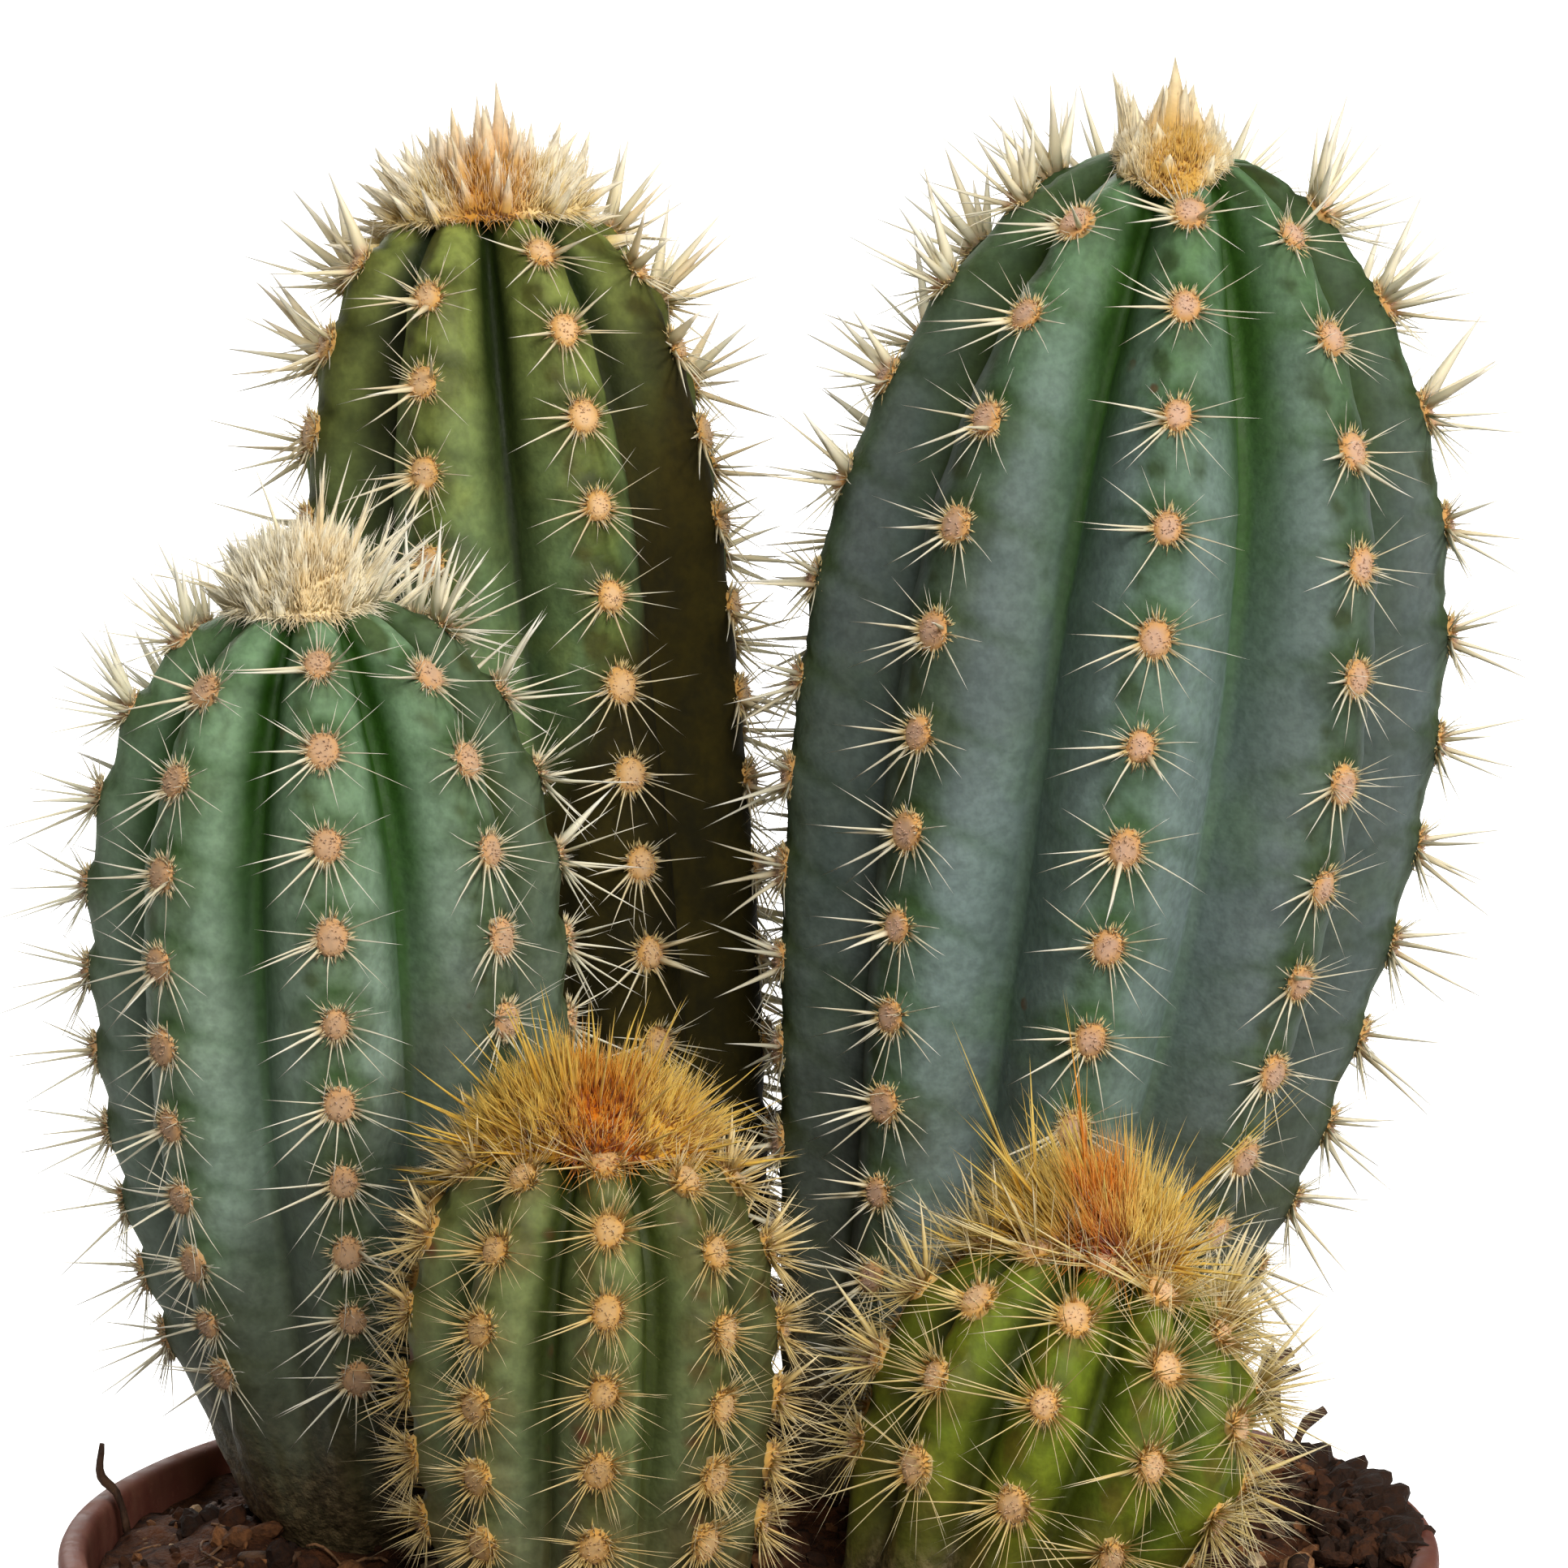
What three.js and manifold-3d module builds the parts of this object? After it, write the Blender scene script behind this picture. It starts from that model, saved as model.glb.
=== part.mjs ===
// A brown nursery pot holding five ribbed column cacti of different heights. Millimetres, +Z up.
// The origin is the middle of the pot's flat base. Angles round a stem start at the front (-Y)
// and grow towards +X. Arcs along a stem are measured down its crest from the woolly top.
import * as THREE from "three";
import { mergeVertices } from "three/addons/utils/BufferGeometryUtils.js";
import Module from "manifold-3d";

const wasm = await Module();
wasm.setup();

// ---- driving dimensions ----
const GAP = 0.3; // clearance between pieces that touch
const POT = {
  rimRadius: 60, lipWidth: 2.5, height: 95, collarHeight: 11, collarStep: 1.2, wall: 1.3,
  baseRadius: 42, floor: 2, footRing: 1.2, sides: 40,
  drainHoles: 6, drainRadius: 4, drainCircle: 33,
};
const SOIL = {
  level: 94, rings: 9, sides: 32, heap: [48, 25], heapHeight: 4.6, heapSpread: 7,
  dip: 2.2, dipFrom: 0.72, // how much lower it lies at the wall, and from which share of the radius
  lumps: [[0.45, 0.31, 0.27, 1.3], [0.3, 0.73, -0.5, 2.1], [0.25, 0.4, 0.9, 0]], // height, turns, shift
};
const FOOT = { depth: 14, taper: 0.7 }; // how far a stem goes into the soil, and its end's share
const LEVEL_SHARE = 0.35; // share of the axis over which a stem's sections turn from level to square

// radius: widest crest; footRadius: at the soil; widest: share of the axis where the widest crest is;
// dome: how boxy the top is; seat: radius of the flat under the crown; cell: areole spacing, which
// shrinks by ease for each step down; starts: cell at which each rib's first areole lies;
// bare: crest left bare above the soil; spine: length of a long spine.
const STEMS = {
  back_left: {
    ribs: 8, foot: [-13.5, 38.5], head: [-23.6, 46, 205.5], bow: -0.5, radius: 19.9, footRadius: 14.5,
    widest: 0.6, flare: 0.7, dome: 2.66, seat: 6, groove: 0.23, phase: -22, twist: 8, cell: 7.95, ease: 0,
    starts: [1.95, 1.47, 1.85, 1.4, 1.9, 1.45, 1.8, 1.5], spine: 7, bare: 10, colour: 0x4f6238,
    crown: { rise: 4, side: 5, top: 9, colour: 0xd9b98a },
  },
  back_right: {
    ribs: 9, foot: [19, 25.5], head: [38.1, 29, 212], bow: 2, radius: 28.3, footRadius: 16.5,
    widest: 0.61, flare: 1.15, dome: 1.95, seat: 6.5, groove: 0.22, phase: 1.3, twist: 2.7, cell: 10.87,
    ease: 0.14, starts: [1.21, 1.42, 1.15, 1.5, 1.2, 1.45, 1.2, 1.4, 1.51], spine: 7.6, bare: 10,
    colour: 0x54706a,
    crown: { rise: 4, side: 5.5, top: 8.5, colour: 0xdcc497 },
  },
  front_left: {
    ribs: 8, foot: [-33.2, 8.5], head: [-37.5, 2, 176.8], bow: -0.6, radius: 20.2, footRadius: 9.5,
    widest: 0.62, flare: 0.82, dome: 2.29, seat: 6.5, groove: 0.22, phase: 4.9, twist: -2.3, cell: 8.87,
    ease: 0.15, starts: [1.14, 1.48, 1.1, 1.5, 1.15, 1.5, 1.1, 1.55], spine: 7.6, bare: 13, colour: 0x4f7358,
    crown: { rise: 4.2, side: 6, top: 9.5, colour: 0xe2d6b6 },
  },
  front_mid: {
    ribs: 9, foot: [-13, -21], head: [-13.3, -21, 136.2], bow: -0.2, radius: 15.6, footRadius: 12.5,
    widest: 0.56, flare: 1.19, dome: 2.24, seat: 5.5, groove: 0.24, phase: 9.2, twist: -10, cell: 7.31,
    ease: 0.11, starts: [0.98, 1.4, 1.67, 1.1, 1.5, 1, 1.4, 1.36, 1.3], spine: 5.6, bare: 5, colour: 0x4c6640,
    crown: { rise: 2.6, side: 8, top: 6.6, colour: 0xc98a3c },
  },
  front_right: {
    ribs: 10, foot: [18.5, -15], head: [32.6, -12, 123], bow: 0.8, radius: 16.4, footRadius: 11.3,
    widest: 0.52, flare: 1.22, dome: 1.91, seat: 5.5, groove: 0.24, phase: -18, twist: 18, cell: 8.5,
    ease: 0.12, starts: [0.75, 0.9, 1.3, 1, 1.3, 1, 1.3, 1, 1.38, 1.1], spine: 8.6, bare: 5, colour: 0x6f8040,
    crown: { rise: 3, side: 8, top: 12, colour: 0xc07a2c },
  },
};
const AREOLE = { radius: 1.25, spines: 5, rim: 0.3, rise: 0.8, ease: 0.6 };
// Clearances of spines: from each other, their own stem, other stems, the pot's rim and the soil.
const SPINE_ROOM = { each: 0.12, own: 0.2, others: 0.7, rim: 0.6, soil: 1 };
// A spine that would touch something is raised and shortened by these shares, then left out.
const SPINE_TRIES = { count: 12, raise: 0.07, shorten: 0.055 };
const CROWN = { sides: 16, rows: 4, lean: 0.55 };

// ---- small helpers ----
const V = (x, y, z) => new THREE.Vector3(x, y, z);
const radians = THREE.MathUtils.degToRad;
const smooth = (x) => THREE.MathUtils.smoothstep(x, 0, 1);

// Seeded draws between low and high.
function drawsFrom(seed) {
  let state = seed;
  return (low, high) => {
    state = (Math.imul(state, 1664525) + 1013904223) >>> 0;
    return low + ((high - low) * state) / 4294967296;
  };
}

// A surface gathered point by point and triangle by triangle.
class Surface {
  constructor() {
    this.points = [];
    this.faces = [];
  }
  point(p) {
    return this.points.push(p.clone()) - 1;
  }
  quad(a, b, c, d) {
    this.faces.push([a, b, c], [a, c, d]);
  }
  geometry() {
    const made = new THREE.BufferGeometry();
    const flat = this.points.flatMap((p) => [p.x, p.y, p.z]);
    made.setAttribute("position", new THREE.Float32BufferAttribute(flat, 3));
    made.setIndex(this.faces.flat());
    return made;
  }
}

function solidFrom(geometry) {
  const bare = geometry.clone();
  bare.deleteAttribute("normal");
  bare.deleteAttribute("uv");
  const merged = mergeVertices(bare, 1e-4);
  const vertProperties = new Float32Array(merged.attributes.position.array);
  const triVerts = new Uint32Array(merged.index.array);
  return new wasm.Manifold(new wasm.Mesh({ numProp: 3, vertProperties, triVerts }));
}

function geometryFrom(solid) {
  const mesh = solid.getMesh();
  const made = new THREE.BufferGeometry();
  made.setAttribute("position", new THREE.Float32BufferAttribute(mesh.vertProperties, 3));
  made.setIndex(new THREE.BufferAttribute(mesh.triVerts, 1));
  return made;
}

// ---- the soil's surface ----
const innerRadius = POT.rimRadius - POT.lipWidth;

function soilHeight(x, y) {
  const away = Math.hypot(x, y) / innerRadius;
  const dip = SOIL.dip * smooth((away - SOIL.dipFrom) / (1 - SOIL.dipFrom));
  const heapAway = Math.hypot(x - SOIL.heap[0], y - SOIL.heap[1]) / SOIL.heapSpread;
  const heap = SOIL.heapHeight * Math.exp(-heapAway * heapAway);
  const lump = (sum, [size, alongX, alongY, shift]) => sum + size * Math.sin(alongX * x + alongY * y + shift);
  return SOIL.lumps.reduce(lump, SOIL.level + heap - dip);
}

// ---- a stem's shape ----
class Stem {
  constructor(name, sizes) {
    Object.assign(this, sizes, { name });
    const foot = V(...this.foot, SOIL.level);
    const head = V(...this.head);
    const middle = foot.clone().lerp(head, 0.5).add(V(2 * this.bow, 0, 0));
    this.axis = new THREE.QuadraticBezierCurve3(foot, middle, head);
    this.measure();
    this.rows = this.countRows();
  }

  // Crest radius at a share of the way up the axis.
  crest(share) {
    if (share <= this.widest) {
      const turn = Math.sin((Math.PI / 2) * (share / this.widest));
      return this.footRadius + (this.radius - this.footRadius) * turn ** this.flare;
    }
    const top = Math.sqrt(1 - (this.seat / this.radius) ** this.dome) ** (2 / this.dome);
    const up = Math.min(((share - this.widest) / (1 - this.widest)) * top, 1);
    return this.radius * (1 - up ** this.dome) ** (1 / this.dome);
  }

  // Arc lengths along the crest, from the seat down.
  measure() {
    const steps = 600;
    const height = this.axis.v0.distanceTo(this.axis.v2);
    this.arcs = [[0, 1]];
    for (let i = 1; i <= steps; i++) {
      const eased = 1 - startSlow(i / steps);
      const [before, at] = this.arcs[i - 1];
      const step = Math.hypot((at - eased) * height, this.crest(at) - this.crest(eased));
      this.arcs.push([before + step, eased]);
    }
    this.length = this.arcs[steps][0];
  }

  shareAt(arc) {
    let low = 0;
    let high = this.arcs.length - 1;
    while (high - low > 1) {
      const mid = (low + high) >> 1;
      if (this.arcs[mid][0] <= arc) low = mid;
      else high = mid;
    }
    const [a, b] = [this.arcs[low], this.arcs[high]];
    const part = THREE.MathUtils.clamp((arc - a[0]) / (b[0] - a[0]), 0, 1);
    return a[1] + (b[1] - a[1]) * part;
  }

  // Centre and axes of the section at a share; sections are level at the soil.
  frame(share) {
    const s = THREE.MathUtils.clamp(share, 0, 1);
    const up = V(0, 0, 1).lerp(this.axis.getTangent(s), smooth(s / LEVEL_SHARE)).normalize();
    const right = V(1, 0, 0).addScaledVector(up, -up.x).normalize();
    return { centre: this.axis.getPoint(s), up, right, back: up.clone().cross(right) };
  }

  ribAngle(share, rib) {
    return radians(this.phase + this.twist * (1 - share)) + (2 * Math.PI * rib) / this.ribs;
  }

  // How deep the grooves are cut, as a share of the crest radius.
  grooveDepth(share) {
    const topping = 1 + 0.6 * smooth((share - 0.75) / 0.25);
    return this.groove * topping * smooth(share / 0.3) ** 0.7;
  }

  // Radius over the section, with across 0 on a crest and 1 in a groove.
  surface(share, across) {
    const cut = 1 - Math.cos((Math.PI / 2) * across);
    return this.crest(share) * (1 - this.grooveDepth(share) * cut);
  }

  place(share, rib, across) {
    const { centre, right, back } = this.frame(share);
    const angle = this.ribAngle(share, rib) + (across * Math.PI) / this.ribs;
    const r = this.surface(share, Math.abs(across));
    return centre.addScaledVector(right, r * Math.sin(angle)).addScaledVector(back, -r * Math.cos(angle));
  }

  // Arc at a number of cells down from the seat; the first cells are crowded together.
  cellArc(cells) {
    const crowding = AREOLE.ease * (1 - Math.exp(-cells / AREOLE.ease));
    return this.cell * (cells - crowding) - this.ease * cells * cells;
  }

  // Arc of areole number j on a rib; half steps lie between areoles.
  areoleArc(j, rib) {
    const level = this.starts.reduce((sum, start) => sum + start, 0) / this.ribs;
    const fade = 1 - THREE.MathUtils.clamp((j + 0.5) / this.rows, 0, 1) ** 4;
    return this.cellArc(j + level + (this.starts[rib] - level) * fade);
  }

  // Rows of areoles that fit above the bare foot.
  countRows() {
    let rows = 0;
    while (this.cellArc(rows + Math.max(...this.starts)) < this.length - this.bare) rows++;
    return rows;
  }

  // Height of a point above the stem's skin, measured square to the axis.
  clearance(p) {
    let low = 0;
    let high = 1;
    for (let i = 0; i < 14; i++) {
      const mid = (low + high) / 2;
      const { centre, up } = this.frame(mid);
      if (p.clone().sub(centre).dot(up) > 0) low = mid;
      else high = mid;
    }
    const share = (low + high) / 2;
    const { centre, up, right, back } = this.frame(share);
    const off = p.clone().sub(centre);
    const above = share > 0.999 ? off.dot(up) : 0;
    const [x, y] = [off.dot(right), off.dot(back)];
    const turned = (Math.atan2(x, -y) - this.ribAngle(share, 0)) / ((2 * Math.PI) / this.ribs);
    const across = Math.abs(turned - Math.round(turned)) * 2;
    const beyond = Math.hypot(x, y) - this.surface(share, across);
    return Math.max(beyond, above - this.crown.rise);
  }
}

function startSlow(x) {
  return x * x * (2 - x) * 0.5 + x * 0.5;
}

const stems = Object.entries(STEMS).map(([name, sizes]) => new Stem(name, sizes));

// ---- spines: each one is a triangle of skin drawn out to a point, clear of everything else ----
const spines = [];

// Least distance between two tapering spines, less their thickness there.
function spineGap(a, b) {
  const u = a.tip.clone().sub(a.root);
  const v = b.tip.clone().sub(b.root);
  const w = a.root.clone().sub(b.root);
  const [uu, uv, vv, uw, vw] = [u.dot(u), u.dot(v), v.dot(v), u.dot(w), v.dot(w)];
  const bend = uu * vv - uv * uv;
  let s = bend > 1e-9 ? THREE.MathUtils.clamp((uv * vw - vv * uw) / bend, 0, 1) : 0;
  const t = THREE.MathUtils.clamp((uv * s + vw) / vv, 0, 1);
  s = THREE.MathUtils.clamp((uv * t - uw) / uu, 0, 1);
  const apart = w.addScaledVector(u, s).addScaledVector(v, -t).length();
  return apart - a.thick * (1 - s) - b.thick * (1 - t);
}

function spineIsClear(spine, own) {
  const reach = spine.root.distanceTo(spine.tip);
  for (const other of spines) {
    if (other.cluster === spine.cluster) continue;
    if (other.root.distanceTo(spine.root) > reach + other.reach + 1) continue;
    if (spineGap(spine, other) < SPINE_ROOM.each) return false;
  }
  for (const part of [0.3, 0.5, 0.7, 0.85, 1]) {
    const p = spine.root.clone().lerp(spine.tip, part);
    const thick = spine.thick * (1 - part);
    const away = Math.hypot(p.x, p.y);
    if (away < POT.rimRadius && p.z - thick < soilHeight(p.x, p.y) + SPINE_ROOM.soil) return false;
    const overRim = away > innerRadius - SPINE_ROOM.rim - thick;
    if (overRim && p.z < POT.height + SPINE_ROOM.rim + thick) return false;
    for (const stem of stems) {
      const least = stem === own ? SPINE_ROOM.own : SPINE_ROOM.others;
      if (stem.clearance(p) - thick < least) return false;
    }
  }
  return true;
}

// Draws a face out to a spine. The first tries keep its length and lean; later ones rise and shorten.
function drawOut(surface, corners, aim, lift, length, own, cluster) {
  const [a, b, c] = corners.map((i) => surface.points[i]);
  const root = a.clone().add(b).add(c).divideScalar(3);
  const thick = Math.max(...[a, b, c].map((corner) => corner.distanceTo(root)));
  for (let attempt = 0; attempt < SPINE_TRIES.count; attempt++) {
    const way = aim.clone().lerp(lift, SPINE_TRIES.raise * attempt).normalize();
    const reach = length * (1 - SPINE_TRIES.shorten * attempt);
    const tip = root.clone().addScaledVector(way, reach);
    const spine = { root, tip, thick, reach, cluster };
    if (!spineIsClear(spine, own)) continue;
    spines.push(spine);
    const point = surface.point(tip);
    corners.forEach((corner, i) => surface.faces.push([corner, corners[(i + 1) % 3], point]));
    return;
  }
  surface.faces.push(corners);
}

// ---- the crown of wool and young spines on a stem's top ----
function makeCrown(stem, draw) {
  const surface = new Surface();
  const { centre, up, right, back } = stem.frame(1);
  const { rise, side, top } = stem.crown;
  const rings = [];
  for (let row = 0; row < CROWN.rows; row++) {
    const climb = ((Math.PI / 2) * row) / (CROWN.rows - 0.3);
    const radius = (stem.seat - 0.2) * Math.cos(climb);
    const height = GAP + rise * Math.sin(climb);
    rings.push(
      Array.from({ length: CROWN.sides }, (_, i) => {
        const angle = (2 * Math.PI * (i + 0.5 * (row % 2))) / CROWN.sides;
        const out = right.clone().multiplyScalar(Math.sin(angle)).addScaledVector(back, -Math.cos(angle));
        return surface.point(centre.clone().addScaledVector(out, radius).addScaledVector(up, height));
      }),
    );
  }
  const apex = surface.point(centre.clone().addScaledVector(up, GAP + rise));
  const foot = surface.point(centre.clone().addScaledVector(up, GAP));
  const tufts = [];
  for (let i = 0; i < CROWN.sides; i++) {
    const next = (i + 1) % CROWN.sides;
    surface.faces.push([foot, rings[0][next], rings[0][i]]);
    for (let row = 1; row < CROWN.rows; row++) {
      const [low, high] = [rings[row - 1], rings[row]];
      if (row % 2) tufts.push([low[i], low[next], high[i]], [low[next], high[next], high[i]]);
      else tufts.push([low[i], low[next], high[next]], [low[i], high[next], high[i]]);
    }
    tufts.push([rings[CROWN.rows - 1][i], rings[CROWN.rows - 1][next], apex]);
  }
  const middle = centre.clone().addScaledVector(up, -0.3 * stem.seat);
  tufts.forEach((corners) => {
    const [a, b, c] = corners.map((i) => surface.points[i]);
    const out = a.clone().add(b).add(c).divideScalar(3).sub(middle).normalize();
    const climb = Math.max(out.dot(up), 0);
    const aim = out.clone().addScaledVector(up, CROWN.lean * climb);
    const length = (side + (top - side) * climb ** 2) * draw(0.72, 1.05);
    drawOut(surface, corners, aim.normalize(), up, length, stem, stem.name);
  });
  return surface.geometry();
}

// ---- a stem with its ribs, areoles and spines ----
const ACROSS = [0, 0.5, 1]; // crest, flank, groove

// One ring of points, four for each rib: crest, flank, groove and the next rib's flank.
function ribRing(surface, stem, shareOf) {
  const ring = [];
  for (let rib = 0; rib < stem.ribs; rib++) {
    const here = shareOf(rib);
    const there = shareOf((rib + 1) % stem.ribs);
    ring.push(surface.point(stem.place(here, rib, ACROSS[0])));
    ring.push(surface.point(stem.place(here, rib, ACROSS[1])));
    ring.push(surface.point(stem.place((here + there) / 2, rib, ACROSS[2])));
    ring.push(surface.point(stem.place(there, rib + 1, -ACROSS[1])));
  }
  return ring;
}

function joinRings(surface, upper, lower) {
  upper.forEach((at, i) => {
    const next = (i + 1) % upper.length;
    surface.quad(at, lower[i], lower[next], upper[next]);
  });
}

// Fills the band between an outline and the areole's rim, both in turning order.
function fillRound(surface, outer, inner) {
  let [i, j] = [0, 0];
  const ahead = (loop, n) => loop[n % loop.length].turn + 2 * Math.PI * Math.floor(n / loop.length);
  while (i < outer.length || j < inner.length) {
    const [a, b] = [outer[i % outer.length].id, inner[j % inner.length].id];
    if (j >= inner.length || (i < outer.length && ahead(outer, i + 1) <= ahead(inner, j + 1)))
      surface.faces.push([a, outer[++i % outer.length].id, b]);
    else surface.faces.push([a, inner[++j % inner.length].id, b]);
  }
}

function addAreole(surface, stem, j, rib, outline, draw) {
  const arc = stem.areoleArc(j, rib);
  const share = stem.shareAt(arc);
  const centre = stem.place(share, rib, 0);
  const along = stem.place(stem.shareAt(arc - 0.5), rib, 0).sub(stem.place(stem.shareAt(arc + 0.5), rib, 0));
  const rise = along.normalize();
  const side = stem.place(share, rib, 0.1).sub(stem.place(share, rib, -0.1)).normalize();
  const out = side.clone().cross(rise).normalize();
  const turnOf = (p) => Math.atan2(p.dot(rise), p.dot(side));
  const outer = outline.map((id) => ({ id, turn: turnOf(surface.points[id].clone().sub(centre)) }));
  outer.sort((a, b) => a.turn - b.turn);
  const room = surface.points[outline[1]].distanceTo(surface.points[outline[2]]) / 2;
  const radius = Math.min(AREOLE.radius, 0.62 * room);
  const start = -Math.PI + draw(0.1, 1);
  const inner = Array.from({ length: AREOLE.spines }, (_, k) => {
    const turn = start + (2 * Math.PI * k) / AREOLE.spines;
    const p = centre.clone().addScaledVector(side, radius * Math.cos(turn));
    p.addScaledVector(rise, radius * Math.sin(turn)).addScaledVector(out, AREOLE.rim);
    return { id: surface.point(p), turn };
  });
  fillRound(surface, outer, inner);
  const middle = surface.point(centre.clone().addScaledVector(out, AREOLE.rise));
  inner.forEach(({ id, turn }, k) => {
    const next = inner[(k + 1) % inner.length].id;
    const heading = turn + Math.PI / AREOLE.spines + draw(-0.2, 0.2);
    const climb = radians(k === 2 ? draw(52, 64) : draw(26, 42));
    const flat = side.clone().multiplyScalar(Math.cos(heading)).addScaledVector(rise, Math.sin(heading));
    const aim = flat.multiplyScalar(Math.cos(climb)).addScaledVector(out, Math.sin(climb));
    const length = stem.spine * draw(0.78, 1.08);
    drawOut(surface, [middle, id, next], aim, out, length, stem, `${stem.name} ${j} ${rib}`);
  });
}

// The lower end of a stem's round foot, or of the hole for it, larger by room all round.
function footRing(surface, stem, count, room) {
  const radius = FOOT.taper * stem.footRadius + room;
  const { centre } = stem.frame(0);
  return Array.from({ length: count }, (_, i) => {
    const angle = stem.ribAngle(0, 0) + (2 * Math.PI * i) / count;
    const across = V(radius * Math.sin(angle), -radius * Math.cos(angle), -FOOT.depth - room);
    return surface.point(centre.clone().add(across));
  });
}

// Closes a stack of rings at its upper and lower end.
function closeEnds(surface, rings, top, end) {
  const [first, last] = [rings[0], rings.at(-1)];
  const [topId, endId] = [surface.point(top), surface.point(end)];
  first.forEach((at, i) => surface.faces.push([topId, at, first[(i + 1) % first.length]]));
  last.forEach((at, i) => surface.faces.push([endId, last[(i + 1) % last.length], at]));
}

function makeStem(stem, draw) {
  const surface = new Surface();
  const rings = [ribRing(surface, stem, () => 1)];
  for (let j = 0; j <= stem.rows; j++)
    rings.push(ribRing(surface, stem, (rib) => stem.shareAt(stem.areoleArc(j - 0.5, rib))));
  rings.push(ribRing(surface, stem, () => 0));
  const count = rings[0].length;
  rings.push(footRing(surface, stem, count, 0));
  closeEnds(surface, rings, stem.frame(1).centre, stem.frame(0).centre.add(V(0, 0, -FOOT.depth)));
  rings.slice(1).forEach((lower, n) => {
    const upper = rings[n];
    if (n < 1 || n > stem.rows) {
      joinRings(surface, upper, lower);
      return;
    }
    for (let rib = 0; rib < stem.ribs; rib++) {
      const [crest, flank, groove, far] = [0, 1, 2, 3].map((k) => 4 * rib + k);
      const near = (crest + count - 1) % count;
      surface.quad(upper[flank], lower[flank], lower[groove], upper[groove]);
      surface.quad(upper[groove], lower[groove], lower[far], upper[far]);
      const outline = [upper[crest], upper[near], upper[flank], lower[near], lower[crest], lower[flank]];
      addAreole(surface, stem, n - 1, rib, outline, draw);
    }
  });
  return surface.geometry();
}

// ---- the pot ----
function makePot() {
  const { rimRadius, height, collarHeight, collarStep, wall, baseRadius, floor, footRing: ring } = POT;
  const under = height - collarHeight;
  const wallTop = rimRadius - collarStep - 0.8;
  const profile = [
    [0, 0],
    [baseRadius - 1, 0],
    [baseRadius, ring],
    [wallTop, under],
    [rimRadius - 0.5, under],
    [rimRadius, height - 1],
    [rimRadius - 0.4, height - 0.2],
    [rimRadius - 0.9, height],
    [innerRadius + 0.5, height],
    [innerRadius, height - 0.6],
    [wallTop - wall, under - 1],
    [baseRadius - wall, floor],
    [0, floor],
  ].map(([r, z]) => new THREE.Vector2(r, z));
  const shell = new THREE.LatheGeometry(profile, POT.sides).rotateX(Math.PI / 2);
  let solid = solidFrom(shell);
  for (let i = 0; i < POT.drainHoles; i++) {
    const angle = (2 * Math.PI * (i + 0.5)) / POT.drainHoles;
    const hole = new THREE.CylinderGeometry(POT.drainRadius, POT.drainRadius, 6 * floor, 12);
    hole.rotateX(Math.PI / 2);
    hole.translate(POT.drainCircle * Math.cos(angle), POT.drainCircle * Math.sin(angle), 0);
    solid = solid.subtract(solidFrom(hole));
  }
  return geometryFrom(solid);
}

// ---- the soil, with the holes that the stems stand in and what lies on it ----
function makeGround() {
  const surface = new Surface();
  const wallTop = POT.rimRadius - POT.collarStep - 0.8 - POT.wall;
  const under = POT.height - POT.collarHeight - 1;
  const low = [POT.baseRadius - POT.wall - GAP, POT.floor + GAP];
  const mid = [wallTop - GAP, under];
  const edge = innerRadius - 0.4 - GAP;
  const ringAt = (radius, heightOf) =>
    Array.from({ length: SOIL.sides }, (_, i) => {
      const angle = (2 * Math.PI * i) / SOIL.sides;
      const [x, y] = [radius * Math.sin(angle), -radius * Math.cos(angle)];
      return surface.point(V(x, y, heightOf(x, y)));
    });
  const rings = [];
  for (let n = 1; n <= SOIL.rings; n++) rings.push(ringAt((edge * n) / SOIL.rings, soilHeight));
  rings.push(ringAt(mid[0], () => mid[1]));
  rings.push(ringAt(low[0], () => low[1]));
  const top = surface.point(V(0, 0, soilHeight(0, 0)));
  const bottom = surface.point(V(0, 0, low[1]));
  for (let i = 0; i < SOIL.sides; i++) {
    const next = (i + 1) % SOIL.sides;
    surface.faces.push([top, rings[0][i], rings[0][next]]);
    surface.faces.push([bottom, rings.at(-1)[next], rings.at(-1)[i]]);
  }
  rings.slice(1).forEach((outer, n) => joinRings(surface, rings[n], outer));
  return solidFrom(surface.geometry());
}

// A hole's clearance, its sections from the soil's level up, as shares of the axis, and the extra
// radius there for each whole share, which a leaning stem needs.
const HOLE = { room: GAP + 0.2, sides: 24, shares: [0.1, 0.05, 0], flare: 24 };

// What a stem takes out of the soil: its foot and lowest stretch, a little larger all round.
function makeHole(stem) {
  const surface = new Surface();
  const rings = HOLE.shares.map((share) => {
    const { centre, right, back } = stem.frame(share);
    const radius = stem.crest(share) + HOLE.room + HOLE.flare * share;
    return Array.from({ length: HOLE.sides }, (_, i) => {
      const angle = stem.ribAngle(0, 0) + (2 * Math.PI * i) / HOLE.sides;
      const p = centre.clone().addScaledVector(right, radius * Math.sin(angle));
      return surface.point(p.addScaledVector(back, -radius * Math.cos(angle)));
    });
  });
  rings.push(footRing(surface, stem, HOLE.sides, HOLE.room));
  const end = stem.frame(0).centre.add(V(0, 0, -FOOT.depth - HOLE.room));
  closeEnds(surface, rings, stem.frame(HOLE.shares[0]).centre, end);
  rings.slice(1).forEach((lower, n) => joinRings(surface, rings[n], lower));
  return solidFrom(surface.geometry());
}

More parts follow.
